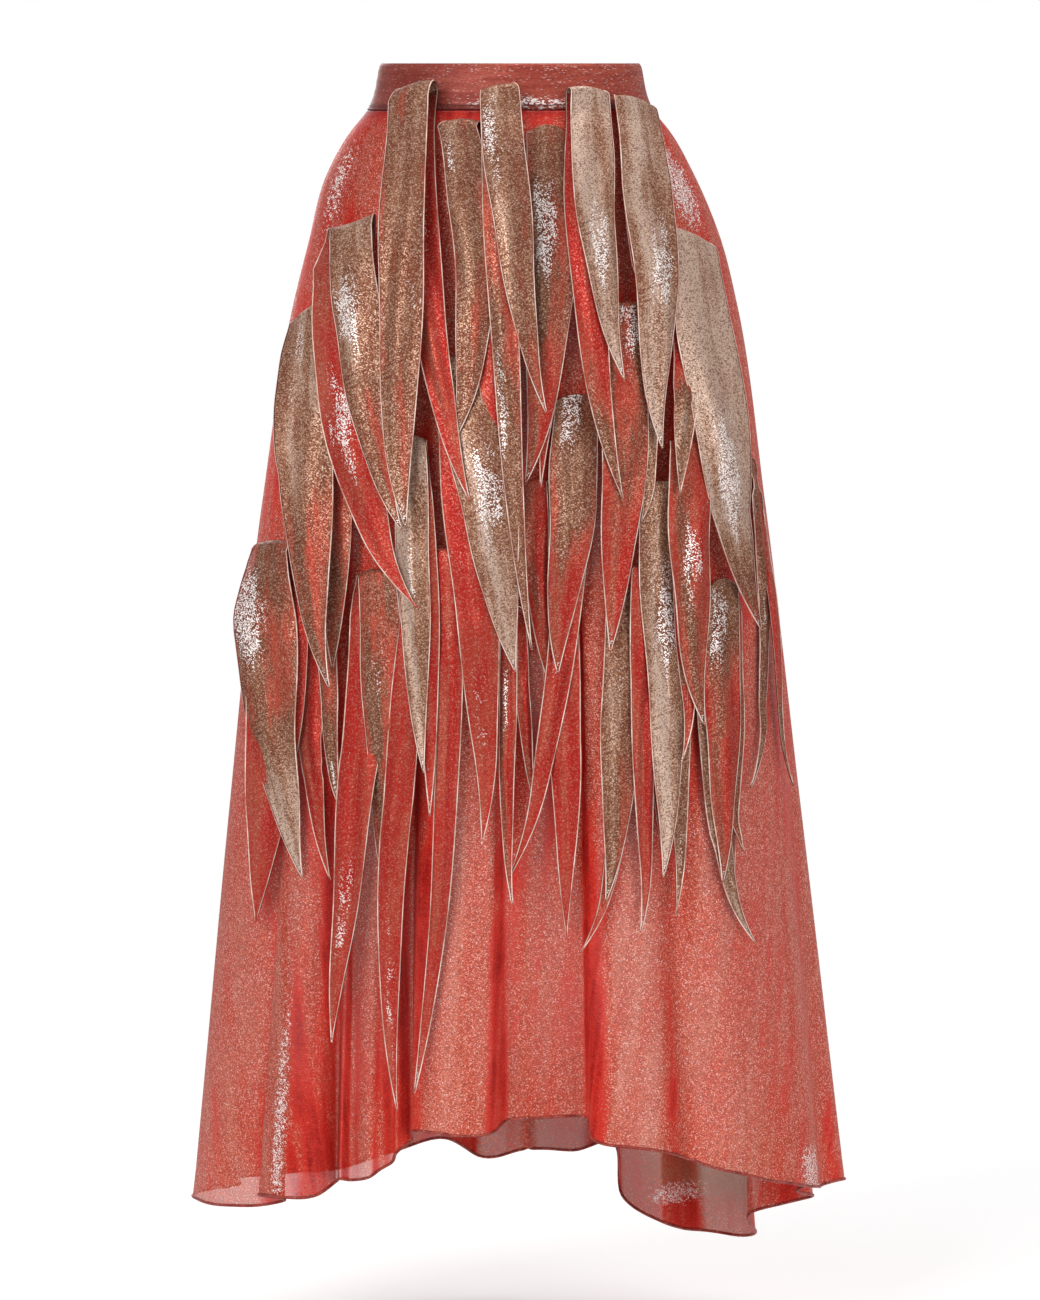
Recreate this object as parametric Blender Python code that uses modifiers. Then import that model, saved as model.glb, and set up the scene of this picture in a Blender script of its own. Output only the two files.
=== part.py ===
"""A sheer A-line fringe midi skirt, worn but with no wearer in it.

Run with: blender --background --python part.py

The tables are in millimetres and degrees and the scene is in metres, +Z up. The front faces -Y, and the
origin is the centre of the waistband's top edge. Everything is placed by three numbers: an azimuth round
the skirt (0 at the centre front, 90 at the wearer's left side), a drop below the waist, and how far out
from the plain cone of the skirt the point stands.
"""

import math
from collections import namedtuple

import bmesh
import bpy
import numpy as np
from mathutils import Matrix

MM = 0.001

# Driving sizes, in millimetres.
BAND_HEIGHT = 40.0
BAND_ROWS = (0, 28, 34, 40)
BAND_WALL = 2.0
BAND_PROUD = 1.0
CLOTH_WALL = 1.2
STRIP_WALL = 1.0
WAIST_SEAM = 1.0
SIDE_SEAM = 0.8
WAIST_DIP = 4.1
DIP_FADE = 160.0

# The sections of the plain cone: its half sizes at each drop, and how far it sways to the wearer's left.
Section = namedtuple("Section", "drop half_width front back sway")
SECTIONS = (
    Section(0, 110.5, 85, 87, 0),
    Section(40, 122, 94, 97, 0),
    Section(58, 136.5, 104, 108, 0),
    Section(92, 156, 120, 124, 0),
    Section(152, 177, 137, 141, 4),
    Section(204, 190, 146, 150, 4),
    Section(376, 215, 162, 166, 3),
    Section(634, 238, 172, 177, 4),
    Section(892, 256, 178, 184, 6),
    Section(1080, 268, 181, 188, 8),
)

# The flutes of the hem, round from the centre back. A row is a ridge (out above 0) or a valley: the cloth
# that starts at that azimuth ends this far out from the cone, leaning this many degrees round, at this drop.
Fold = namedtuple("Fold", "azimuth lean out hem")
FOLDS = (
    Fold(-180, -2, 4, 964),
    Fold(-171, -2.5, 24, 974),
    Fold(-161, -2.5, -22, 949),
    Fold(-146, 0, 24, 978),
    Fold(-132, -1, -20, 971),
    Fold(-118, -1, 22, 976),
    Fold(-105, 0, -8, 973),
    Fold(-93, 0, 20, 975),
    Fold(-74, 1.5, 12, 973),
    Fold(-61, 1, 2, 969),
    Fold(-56, 2.5, -18, 964),
    Fold(-52, -1.5, 16, 955),
    Fold(-46, 1.5, 24, 953),
    Fold(-41.5, 1.5, 6, 952),
    Fold(-38.5, 0, -18, 943),
    Fold(-35.5, -0.5, -6, 938),
    Fold(-33.5, -1, -16, 940),
    Fold(-30, 0.5, -4, 936),
    Fold(-27.5, 0, -12, 929),
    Fold(-25.5, 0, -20, 923),
    Fold(-23.5, -0.5, -12, 914),
    Fold(-21.5, 0, -26, 904),
    Fold(-19, -1.5, -4, 894),
    Fold(-15, -1, 20, 892),
    Fold(-9, 0, 27, 893),
    Fold(-4.5, 0, 14, 892),
    Fold(-1.5, -0.5, -18, 885),
    Fold(5, -0.5, -28, 885),
    Fold(13, 0.5, -27, 884),
    Fold(15.5, -1.5, 0, 900),
    Fold(20, -0.5, 26, 904),
    Fold(27, 0.5, 22, 910),
    Fold(33, 0.5, 4, 920),
    Fold(41, -0.5, 18, 930),
    Fold(53, 1.5, 16, 945),
    Fold(69, 4.5, 8, 959),
    Fold(82, 4, 2, 964),
    Fold(94, 0, 24, 963),
    Fold(104, 0, -10, 977),
    Fold(112, -0.5, 16, 989),
    Fold(122, 1.5, -20, 1006),
    Fold(131, 2, 24, 1035),
    Fold(142, 2.5, 24, 1036),
    Fold(150, -1, -20, 1022),
    Fold(160, -1, -4, 1004),
    Fold(165, -4, 12, 959),
    Fold(171, -2.5, -12, 962),
)
FOLD_START = 250.0
FOLD_FULL = 980.0
FOLD_POWER = 1.5
COLUMNS_PER_FOLD = 2

# The drops at which the panels have rows. Below HEM_EASE they stretch or shrink to reach each azimuth's hem.
LEVELS = (0, 56, 78, 110, 155, 215, 290, 375, 470, 570, 670, 770, 860, 950)
HEM_EASE = 250.0

# A folded strip: two pointed tails that share one fold, sewn to the skirt along that fold. Across and drop
# are read as from in front of that side of the skirt. Bow is how far the middle swings to the viewer's
# right, full how late the tail starts to taper, and flare how far its outer edge stands off.
Tail = namedtuple("Tail", "across drop tip_across tip_drop width bow full")
Piece = namedtuple("Piece", "name over under flare")
FRONT_PIECES = (
    Piece("waist_a", Tail(-86, 29, -95, 389, 34, -2, 5), Tail(-76, 31, -38, 368, 27, -13, 4), 0),
    Piece("waist_b", Tail(-45, 53, -45, 323, 34, 15, 3), Tail(-37, 54, -6, 363, 27, 0, 4), 0),
    Piece("waist_c", Tail(-9, 26, 26, 296, 32, -4, 2.2), Tail(-14, 28, 15, 490, 22, -4, 3), 0),
    Piece("waist_d", Tail(31, 54, 17, 354, 37, 9, 3.5), Tail(40, 56, 22, 358, 20, 8, 3), 0),
    Piece("waist_e", Tail(69, 24, 92, 268, 33, -6, 2.5), Tail(61, 27, 91, 367, 27, -10, 3.5), 0),
    Piece("waist_f", Tail(111, 33, 119, 325, 39, 9, 3), Tail(105, 34.5, 108, 203, 26, 2, 3), 0),
    Piece("hip_left", Tail(-134, 148, -98, 392, 40, -6, 3), Tail(-138, 150, -91, 456, 38, -22, 3), 3),
    Piece("hip_right", Tail(156, 152, 203, 480, 40, 0, 3.5), Tail(147, 153, 141, 363, 26, 6, 3), 0),
    Piece("side_left", Tail(-168, 212, -160, 524, 36, -6, 3), Tail(-160, 216, -150, 510, 32, 6, 4), 12),
    Piece("knee_left", Tail(-176, 412, -176, 684, 38, -8, 3), Tail(-192, 414, -215, 726, 34, 2, 4), 18),
    Piece("front_a", Tail(-41, 257, 0, 508, 48, 4, 2.6), Tail(-46, 259, -16, 652, 38, 2, 3), 0),
    Piece("front_b", Tail(55, 281, 35, 511, 38, 5, 3), Tail(64, 288, 9, 684, 26, 7, 3), 0),
    Piece("front_c", Tail(97, 208, 83, 493, 38, 5, 3), Tail(105, 214, 118, 386, 22, 2, 3), 0),
    Piece("front_d", Tail(-84, 322, -75, 592, 26, -1, 3), Tail(-79, 324, -67, 629, 22, 2, 3), 0),
    Piece("front_e", Tail(20, 352, 37, 532, 24, -5, 2.5), Tail(26, 354, 44, 730, 32, 10, 3), 0),
    Piece("front_f", Tail(124, 356, 132, 680, 34, 4, 3), Tail(134, 364, 143, 714, 22, 3, 3), 0),
    Piece("front_g", Tail(152, 322, 158, 556, 34, -2, 3), Tail(144, 326, 152, 584, 20, 0, 3), 0),
    Piece("front_h", Tail(0, 456, -1, 702, 14, -2, 3), Tail(7, 462, 20, 620, 13, -2, 3), 0),
    Piece("low_a", Tail(-112, 430, -105, 704, 34, 2, 2.5), Tail(-118, 432, -155, 820, 30, -10, 3), 0),
    Piece("low_b", Tail(-67, 412, -82, 860, 28, 6, 3.5), Tail(-72, 414, -98, 876, 24, -12, 4), 0),
    Piece("low_c", Tail(-154, 456, -145, 634, 15, -3, 3), Tail(-161, 458, -154, 686, 22, -10, 3), 0),
    Piece("low_d", Tail(96, 444, 84, 699, 32, 2, 3), Tail(100, 446, 72, 741, 22, 9, 3), 0),
    Piece("low_e", Tail(112, 424, 116, 726, 20, -2, 3), Tail(120, 430, 126, 664, 16, 0, 3), 0),
    Piece("low_f", Tail(180, 438, 181, 688, 30, -2, 3), Tail(184, 440, 188, 664, 22, 2, 3), 0),
    Piece("low_g", Tail(161, 490, 195, 741, 22, -9, 3.5), Tail(174, 492, 186, 716, 15, 4, 3), 0),
    Piece("side_right", Tail(206, 336, 207, 612, 14, 8, 3), Tail(211, 344, 232, 616, 13, 3, 3), 2),
)
BACK_PIECES = (
    Piece("waist_a", Tail(-92, 27, -99, 384, 34, -2, 5), Tail(-80, 29, -62, 402, 27, -9, 4), 0),
    Piece("waist_b", Tail(-46, 55, -40, 330, 34, 6, 3), Tail(-38, 56, -22, 372, 24, 2, 4), 0),
    Piece("waist_c", Tail(38, 52, 30, 348, 36, 7, 3.5), Tail(46, 54, 38, 372, 20, 6, 3), 0),
    Piece("waist_d", Tail(82, 26, 98, 310, 33, -6, 2.8), Tail(74, 28, 84, 376, 27, -4, 3.5), 0),
    Piece("waist_e", Tail(106, 56, 122, 340, 34, 8, 3), Tail(101, 58, 108, 282, 26, 4, 3), 0),
    Piece("hip_left", Tail(-149, 148, -122, 444, 38, -4, 3), Tail(-139, 151, -96, 480, 32, -12, 3), 2),
    Piece("hip_right", Tail(140, 88, 172, 414, 38, 12, 3.5), Tail(134, 92, 142, 372, 26, 6, 3), 0),
    Piece("side_left", Tail(-182, 236, -176, 560, 34, -3, 3), Tail(-174, 240, -158, 520, 28, 4, 4), 6),
    Piece("side_right", Tail(192, 300, 204, 640, 34, 2, 3), Tail(184, 304, 190, 580, 24, 0, 3), 4),
    Piece("back_a", Tail(-50, 262, -22, 524, 44, -4, 2.6), Tail(-60, 268, -42, 664, 30, -6, 3), 0),
    Piece("back_b", Tail(60, 250, 50, 536, 38, 5, 3), Tail(68, 256, 34, 690, 26, 6, 3), 0),
    Piece("back_c", Tail(112, 296, 104, 598, 36, 4, 3), Tail(120, 300, 128, 560, 22, 2, 3), 0),
    Piece("back_d", Tail(-104, 330, -98, 640, 34, -4, 3), Tail(-94, 334, -84, 690, 22, 0, 3), 0),
    Piece("back_e", Tail(10, 372, 16, 640, 28, 4, 3), Tail(0, 376, -6, 736, 24, -2, 3), 0),
    Piece("low_a", Tail(-148, 420, -140, 720, 34, 2, 2.8), Tail(-158, 424, -166, 800, 28, 6, 3), 0),
    Piece("low_b", Tail(-66, 446, -74, 788, 30, 5, 3), Tail(-56, 450, -48, 730, 20, 2, 3), 0),
    Piece("low_c", Tail(76, 456, 70, 800, 30, 2, 3), Tail(84, 460, 92, 742, 20, 4, 3), 0),
    Piece("low_d", Tail(148, 430, 142, 740, 32, -4, 3), Tail(158, 434, 164, 700, 20, 0, 3), 0),
)
STATION_DROPS = (41, 56, 78, 110, 155, 215, 252, 290, 332, 375, 422, 470, 520, 570, 620, 670, 720, 770, 860)
LEAST_STEP = 6.0
LEAST_TIP_STEP = 12.0
FOLD_STEPS = 3
WIDE_STRIP = 30.0
ROOT_SHARE = 0.86
TIP_WIDTH = 2.6
STRIP_LOFT = 3.6
LAY_GAP = 0.95
ROOT_GAP = 0.3
ROOT_LENGTH = 9.0
LAY_SLOPE = 0.10
FLARE_START = 45.0

# The map of what already lies on the skirt, which each strip is laid over.
MAP_AZIMUTHS = 360
MAP_DROP_STEP = 5.0
MAP_DROPS = 220
MAP_MARGIN = 0.7

# The concealed zip at the centre back, closed, with its pull hanging on the outside from a ring.
BAND_SLOT = 2.4
TAPE_DROPS = (28, 40, 56, 78, 110, 155, 215)
TAPE_WIDTH = 26.0
TAPE_WALL = 0.9
TAPE_DEPTH = 2.1
SLIDER_DROP = 9.5
SLIDER_BODY = (7.0, 2.2, 9.0)
SLIDER_GAP = 0.6
NECK = (1.4, 2.6)
RING_OUT = 3.0
RING_RADIUS = 2.2
RING_HOLE = 1.1
RING_WALL = 1.2
PULL_WIDTH = 4.4
PULL_TOP_WIDTH = 3.8
PULL_LENGTH = 19.0
PULL_WALL = 0.9
PULL_EDGE = 0.5
EYE = (2.1, 2.15)

COLOURS = {
    "cloth": ((0.52, 0.09, 0.06), 0.45, 0.35),
    "strip": ((0.42, 0.25, 0.16), 0.38, 0.6),
    "metal": ((0.45, 0.30, 0.22), 0.3, 1.0),
}


def blend_through(keys, values, at):
    """A smooth curve through the points, as cubic pieces whose slopes follow their neighbours."""
    keys, values = np.asarray(keys, float), np.asarray(values, float)
    slopes = np.gradient(values, keys)
    at = np.clip(at, keys[0], keys[-1])
    left = np.clip(np.searchsorted(keys, at, side="right") - 1, 0, len(keys) - 2)
    span = keys[left + 1] - keys[left]
    t = (at - keys[left]) / span
    return (
        values[left] * (1 + 2 * t) * (1 - t) ** 2
        + values[left + 1] * t * t * (3 - 2 * t)
        + span * slopes[left] * t * (1 - t) ** 2
        - span * slopes[left + 1] * t * t * (1 - t)
    )


def section(drop):
    """The plain cone's half width, front depth, back depth and sway at a drop."""
    drops = [s.drop for s in SECTIONS]
    return [blend_through(drops, [s[i] for s in SECTIONS], drop) for i in range(1, 5)]


def cone_point(azimuth, drop, out):
    """The point, in metres, that stands out from the cone by so much at an azimuth and a drop."""
    half_width, front, back, sway = section(drop)
    turn = np.radians(azimuth)
    side, ahead = np.sin(turn), np.cos(turn)
    depth = np.where(ahead > 0, front, back)
    normal_side, normal_ahead = side / half_width, ahead / depth
    length = np.hypot(normal_side, normal_ahead)
    x = sway + half_width * side + out * normal_side / length
    ahead_by = depth * ahead + out * normal_ahead / length
    dip = WAIST_DIP * ahead * np.clip(1 - drop / DIP_FADE, 0, 1)
    return np.stack([x, -ahead_by, -drop - dip], axis=-1) * MM


def arc_per_degree(azimuth, drop):
    """Millimetres round the cone for each degree of azimuth."""
    half_width, front, back, _ = section(drop)
    turn = np.radians(azimuth)
    depth = np.where(np.cos(turn) > 0, front, back)
    return np.radians(1) * np.hypot(half_width * np.cos(turn), depth * np.sin(turn))


def cone_radius(azimuth, drop):
    """The radius, in millimetres, of the cone's outline at an azimuth."""
    half_width, front, back, _ = section(drop)
    turn = np.radians(azimuth)
    depth = np.where(np.cos(turn) > 0, front, back)
    return np.hypot(half_width * np.cos(turn), depth * np.sin(turn)) ** 3 / half_width / depth


def fold_at(place):
    """Azimuth, lean, out and hem of the cloth at a place counted in rows of FOLDS, round and round."""
    count = len(FOLDS)
    reach = 3
    rows = range(-reach, count + reach + 1)
    found = []
    for column in range(4):
        turns = [360 * (row // count) if column == 0 else 0 for row in rows]
        values = [FOLDS[row % count][column] + turn for row, turn in zip(rows, turns)]
        found.append(blend_through(list(rows), values, place))
    return found


def growth(drop):
    """How much of the hem's folding has grown at a drop, from 0 at FOLD_START to 1 near the hem."""
    return np.clip((drop - FOLD_START) / (FOLD_FULL - FOLD_START), 0, 1.12) ** FOLD_POWER


def cloth_place(place, level):
    """Azimuth, drop and out of the skirt's cloth at a level, which is its drop had the hem been even."""
    azimuth, lean, out, hem = fold_at(place)
    drop = level + (hem - LEVELS[-1]) * np.clip((level - HEM_EASE) / (LEVELS[-1] - HEM_EASE), 0, 1)
    grown = growth(drop)
    return azimuth + lean * grown, drop, out * grown


def material(name):
    """A plain material for a kind of cloth or metal."""
    if name in bpy.data.materials:
        return bpy.data.materials[name]
    colour, roughness, metallic = COLOURS[name]
    made = bpy.data.materials.new(name)
    made.use_nodes = True
    shader = made.node_tree.nodes["Principled BSDF"]
    shader.inputs["Base Color"].default_value = (*colour, 1)
    shader.inputs["Roughness"].default_value = roughness
    shader.inputs["Metallic"].default_value = metallic
    return made


def add_object(name, mesh, collection, material_name):
    """Puts a mesh in the scene as a named object, shaded smooth."""
    mesh.materials.append(material(material_name))
    mesh.shade_smooth()
    made = bpy.data.objects.new(name, mesh)
    collection.objects.link(made)
    return made


def sheet(name, columns, rows, point_at, wall, side, collection, material_name):
    """A wall of cloth: a flat grid laid where point_at(column, row) says, then thickened.

    side is -1 to thicken inwards from those points, or 0 for half on each side.
    """
    bm = bmesh.new()
    bmesh.ops.create_grid(bm, x_segments=columns, y_segments=rows, size=1)
    for vertex in bm.verts:
        column = round((vertex.co.x + 1) / 2 * columns)
        row = round((1 - vertex.co.y) / 2 * rows)
        vertex.co = point_at(column, row)
    mesh = bpy.data.meshes.new(name)
    bm.to_mesh(mesh)
    bm.free()
    made = add_object(name, mesh, collection, material_name)
    thick = made.modifiers.new("wall", "SOLIDIFY")
    thick.thickness = wall * MM
    thick.offset = side
    return made


def build_panel(name, first, last, collection):
    """A panel of the skirt between two rows of FOLDS, with half a seam's gap at each side."""
    columns = round((last - first) * COLUMNS_PER_FOLD)

    def point_at(column, row):
        level = LEVELS[row] if row else BAND_HEIGHT + WAIST_SEAM
        azimuth, drop, out = cloth_place(first + column / COLUMNS_PER_FOLD, level)
        inset = {0: 1, columns: -1}.get(column, 0) * SIDE_SEAM / 2
        return cone_point(azimuth + inset / arc_per_degree(azimuth, drop), drop, out)

    return sheet(name, columns, len(LEVELS) - 1, point_at, CLOTH_WALL, -1, collection, "cloth")


def build_waistband(collection):
    """The contoured waistband, one piece from one side of the zip round the front to the other."""
    columns = 54
    slot = BAND_SLOT / 2 / arc_per_degree(180, 0)

    def point_at(column, row):
        azimuth = -180 + slot + (360 - 2 * slot) * column / columns
        return cone_point(azimuth, BAND_ROWS[row], BAND_PROUD)

    return sheet("waistband", columns, len(BAND_ROWS) - 1, point_at, BAND_WALL, -1, collection, "cloth")


class Cover:
    """The height of the outermost cloth over the whole skirt, on a map of azimuth and drop."""

    def __init__(self):
        self.height = np.full((MAP_DROPS, MAP_AZIMUTHS), -60.0)
        places = np.linspace(0, len(FOLDS), MAP_AZIMUTHS * 4)
        azimuth, lean, out, _ = fold_at(places)
        for row in range(MAP_DROPS):
            grown = growth(row * MAP_DROP_STEP)
            np.maximum.at(self.height[row], self.column(azimuth + lean * grown), out * grown)
        self.height[: int(BAND_HEIGHT / MAP_DROP_STEP) + 1] = BAND_PROUD
        self.laid = np.full_like(self.height, -60.0)
        self.laid[: int(BAND_HEIGHT / MAP_DROP_STEP) + 1] = BAND_PROUD
        for _ in range(3):  # cloth that lies on the skirt bridges the valleys of its folds
            self.height = np.maximum.reduce([np.roll(self.height, step, axis=1) for step in (-1, 0, 1)])

    @staticmethod
    def column(azimuth):
        return np.round(np.asarray(azimuth) / 360 * MAP_AZIMUTHS).astype(int) % MAP_AZIMUTHS

    @staticmethod
    def row(drop):
        return np.clip(np.round(np.asarray(drop) / MAP_DROP_STEP).astype(int), 0, MAP_DROPS - 1)

    def cells(self, azimuth, drop, half_turn):
        """The map's rows and columns under a patch of strip."""
        columns = np.unique(self.column(azimuth + np.linspace(-1, 1, 15) * half_turn))
        rows = np.unique(self.row(drop + np.array([-1, 0, 1]) * MAP_DROP_STEP * 0.6))
        return np.ix_(rows, columns)

    def under(self, azimuth, drop, _, half_turn):
        """The highest cloth under a patch."""
        return self.height[self.cells(azimuth, drop, half_turn + MAP_MARGIN)].max()

    def seat(self, azimuth, drop, _, half_turn):
        """The height on which a strip's end can be sewn, down in a valley where it is in one."""
        places = np.arange(0, len(FOLDS) + 0.5 / COLUMNS_PER_FOLD, 1 / COLUMNS_PER_FOLD)
        around, lean, out, _ = fold_at(places)
        grown = growth(drop)
        across = azimuth + np.linspace(-1, 1, 15) * half_turn
        panel = np.interp((across + 180) % 360 - 180, around + lean * grown, out * grown)
        return max(panel.max(), self.laid[self.cells(azimuth, drop, half_turn)].max())

    def lay(self, azimuth, drop, top, half_turn):
        """Raises the map to the top of a patch that now lies there."""
        cells = self.cells(azimuth, drop, half_turn)
        for layer in (self.height, self.laid):
            layer[cells] = np.maximum(layer[cells], top)


def tail_width(tail, t):
    """The width at a share t of the tail's length, from its sewn end to its point."""
    shoulder = ROOT_SHARE + (1 - ROOT_SHARE) * min(1, t / 0.25)
    return max(TIP_WIDTH, tail.width * shoulder * (1 - t**tail.full))


def tail_centre(tail, t, behind):
    """Azimuth and drop of the tail's middle line."""
    across = tail.across + (tail.tip_across - tail.across) * t + tail.bow * 4 * t * (1 - t)
    drop = tail.drop + (tail.tip_drop - tail.drop) * t
    half_width, _, _, sway = section(drop)
    stand_off = 8
    across = across + sway if behind else across - sway
    turn = math.degrees(math.asin(max(-0.999, min(0.999, across / (half_width + stand_off)))))
    return (turn + 180 if behind else turn), drop


def tail_shares(tail, sewn):
    """The shares of its length at which a tail has stations: its ends, and the drops that all strips share."""
    low, high = tail.drop + LEAST_STEP, tail.tip_drop - LEAST_TIP_STEP
    inner = [drop for drop in STATION_DROPS if low < drop < high]
    if sewn and inner[0] > tail.drop + 2 * ROOT_LENGTH:
        inner = [tail.drop + ROOT_LENGTH, *inner]
    drops = [tail.drop, *inner, tail.tip_drop]
    return [(drop - tail.drop) / (tail.tip_drop - tail.drop) for drop in drops]


def patches(low, high):
    """Points close together on the way from one station to the next."""
    count = max(1, round((high[1] - low[1]) / MAP_DROP_STEP))
    return [[a + (b - a) * step / count for a, b in zip(low, high)] for step in range(count + 1)]


def lay_tail(tail, least, columns, cover, behind):
    """Lays a tail on what is there, and returns its stations as [azimuth, drop, out, half width in degrees].

    A tail with no least height is the one that is sewn down, close to the skirt, at its end.
    """
    sewn = least is None
    shares = tail_shares(tail, sewn)
    stations = []
    for t in shares:
        azimuth, drop = tail_centre(tail, t, behind)
        stations.append([azimuth, drop, 0.0, tail_width(tail, t) / 2 / arc_per_degree(azimuth, drop)])
    last = len(stations) - 1
    beneath = [max(cover.under(*patch) for patch in patches(*pair)) for pair in zip(stations, stations[1:])]
    for index, t in enumerate(shares):
        highest = max(beneath[max(0, index - 1)], beneath[min(last - 1, index)])
        bulge = (tail_width(tail, t) / columns) ** 2 / 8 / cone_radius(*stations[index][:2])
        stations[index][2] = max(highest + LAY_GAP + STRIP_WALL / 2 + bulge, (least or 0) * (1 - 0.5 * t))
    if sewn:
        bulge = (tail_width(tail, 0) / columns) ** 2 / 8 / cone_radius(*stations[0][:2])
        stations[0][2] = cover.seat(*stations[0]) + ROOT_GAP + STRIP_WALL / 2 + bulge
    for order in (range(1 + sewn, last + 1), range(last - 1, sewn - 1, -1)):
        for index in order:
            beside = index - order.step
            apart = abs(stations[index][1] - stations[beside][1])
            stations[index][2] = max(stations[index][2], stations[beside][2] - LAY_SLOPE * apart)
    raise_cover(stations, cover, 0)
    return stations


def raise_cover(stations, cover, lift):
    """Adds a tail to the map of what lies on the skirt."""
    for low, high in zip(stations, stations[1:]):
        for azimuth, drop, out, half_turn in patches(low, high):
            cover.lay(azimuth, drop, out + STRIP_WALL / 2 + lift, half_turn)


def turned_lift(piece, over, azimuth, drop):
    """How much further out a point stands where a strip at the side turns its outer edge to the front."""
    inner = float(np.interp(drop, [station[1] for station in over], [station[0] for station in over]))
    away = 1 if math.sin(math.radians(inner)) > 0 else -1
    outward = (azimuth - inner) * away * arc_per_degree(inner, drop) + piece.over.width / 2
    length = max(piece.over.tip_drop, piece.under.tip_drop) - piece.over.drop
    fade = 1 - min(1, max(0, drop - piece.over.drop) / length) ** 2
    fade *= min(1, max(0, drop - piece.under.drop) / FLARE_START)
    return piece.flare * max(0.0, outward) / piece.over.width * fade


def build_strip(piece, side_name, behind, cover, collection):
    """A strip folded over at its top: up one tail, over the fold, and down the other."""
    columns = 2 if max(piece.over.width, piece.under.width) > WIDE_STRIP else 1
    under = lay_tail(piece.under, None, columns, cover, behind)
    over = lay_tail(piece.over, under[0][2] + STRIP_LOFT, columns, cover, behind)
    rows = over[::-1]
    start, end = over[0], under[0]
    radius = abs(start[2] - end[2]) / 2
    middle = (start[2] + end[2]) / 2
    for step in range(1, FOLD_STEPS):
        angle = math.pi * step / FOLD_STEPS
        mix = (1 - math.cos(angle)) / 2
        station = [a * (1 - mix) + b * mix for a, b in zip(start, end)]
        station[1] -= radius * math.sin(angle)
        station[2] = middle + (start[2] - middle) * math.cos(angle)
        rows.append(station)
    rows += under
    if piece.flare:
        raise_cover(over, cover, piece.flare)
        raise_cover(under, cover, piece.flare)

    def point_at(column, row):
        azimuth, drop, out, half_turn = rows[row]
        azimuth += (2 * column / columns - 1) * half_turn
        lift = turned_lift(piece, over, azimuth, drop) if piece.flare else 0
        return cone_point(azimuth, drop, out + lift)

    name = f"{side_name}_{piece.name}"
    return sheet(name, columns, len(rows) - 1, point_at, STRIP_WALL, 0, collection, "strip")


def build_strips(pieces, side_name, behind, cover, collection):
    """Sews the strips on from the lowest up, so that each one hangs over those below it."""
    for piece in sorted(pieces, key=lambda piece: -piece.over.drop):
        build_strip(piece, side_name, behind, cover, collection)


def box(bm, size, centre):
    """Adds a box of this size, in millimetres, round a centre."""
    made = bmesh.ops.create_cube(bm, size=1)["verts"]
    bmesh.ops.scale(bm, vec=[s * MM for s in size], verts=made)
    bmesh.ops.translate(bm, vec=[c * MM for c in centre], verts=made)


def mesh_object(name, fill, collection, material_name):
    """An object whose mesh is filled by a function."""
    bm = bmesh.new()
    fill(bm)
    mesh = bpy.data.meshes.new(name)
    bm.to_mesh(mesh)
    bm.free()
    made = add_object(name, mesh, collection, material_name)
    made.data.set_sharp_from_angle(angle=math.radians(35))
    return made


def join(target, tool, operation):
    """Joins or cuts target with tool, and hides the tool."""
    tool.hide_render = True
    tool.display_type = "WIRE"
    change = target.modifiers.new(tool.name, "BOOLEAN")
    change.operation = operation
    change.object = tool


def disc(bm, radius, length, centre, segments):
    """Adds a cylinder along X."""
    made = bmesh.ops.create_cone(
        bm, cap_ends=True, segments=segments, radius1=radius * MM, radius2=radius * MM, depth=length * MM
    )["verts"]
    bmesh.ops.rotate(bm, verts=made, matrix=Matrix.Rotation(math.radians(90), 3, "Y"))
    bmesh.ops.translate(bm, verts=made, vec=[c * MM for c in centre])


def pull_outline(bm):
    """The pull's flat outline, hanging from its top edge and wider and rounded at its foot."""
    made = bmesh.ops.create_circle(bm, cap_ends=True, segments=24, radius=1)["verts"]
    for vertex in made:
        x, down = vertex.co.x, (1 - vertex.co.y) / 2
        width = PULL_TOP_WIDTH + (PULL_WIDTH - PULL_TOP_WIDTH) * down
        square = abs(x) ** 0.45 if down < 0.5 else abs(x) ** 0.8
        vertex.co = (math.copysign(square * width / 2, x) * MM, 0, (PULL_EDGE - down * PULL_LENGTH) * MM)


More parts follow.
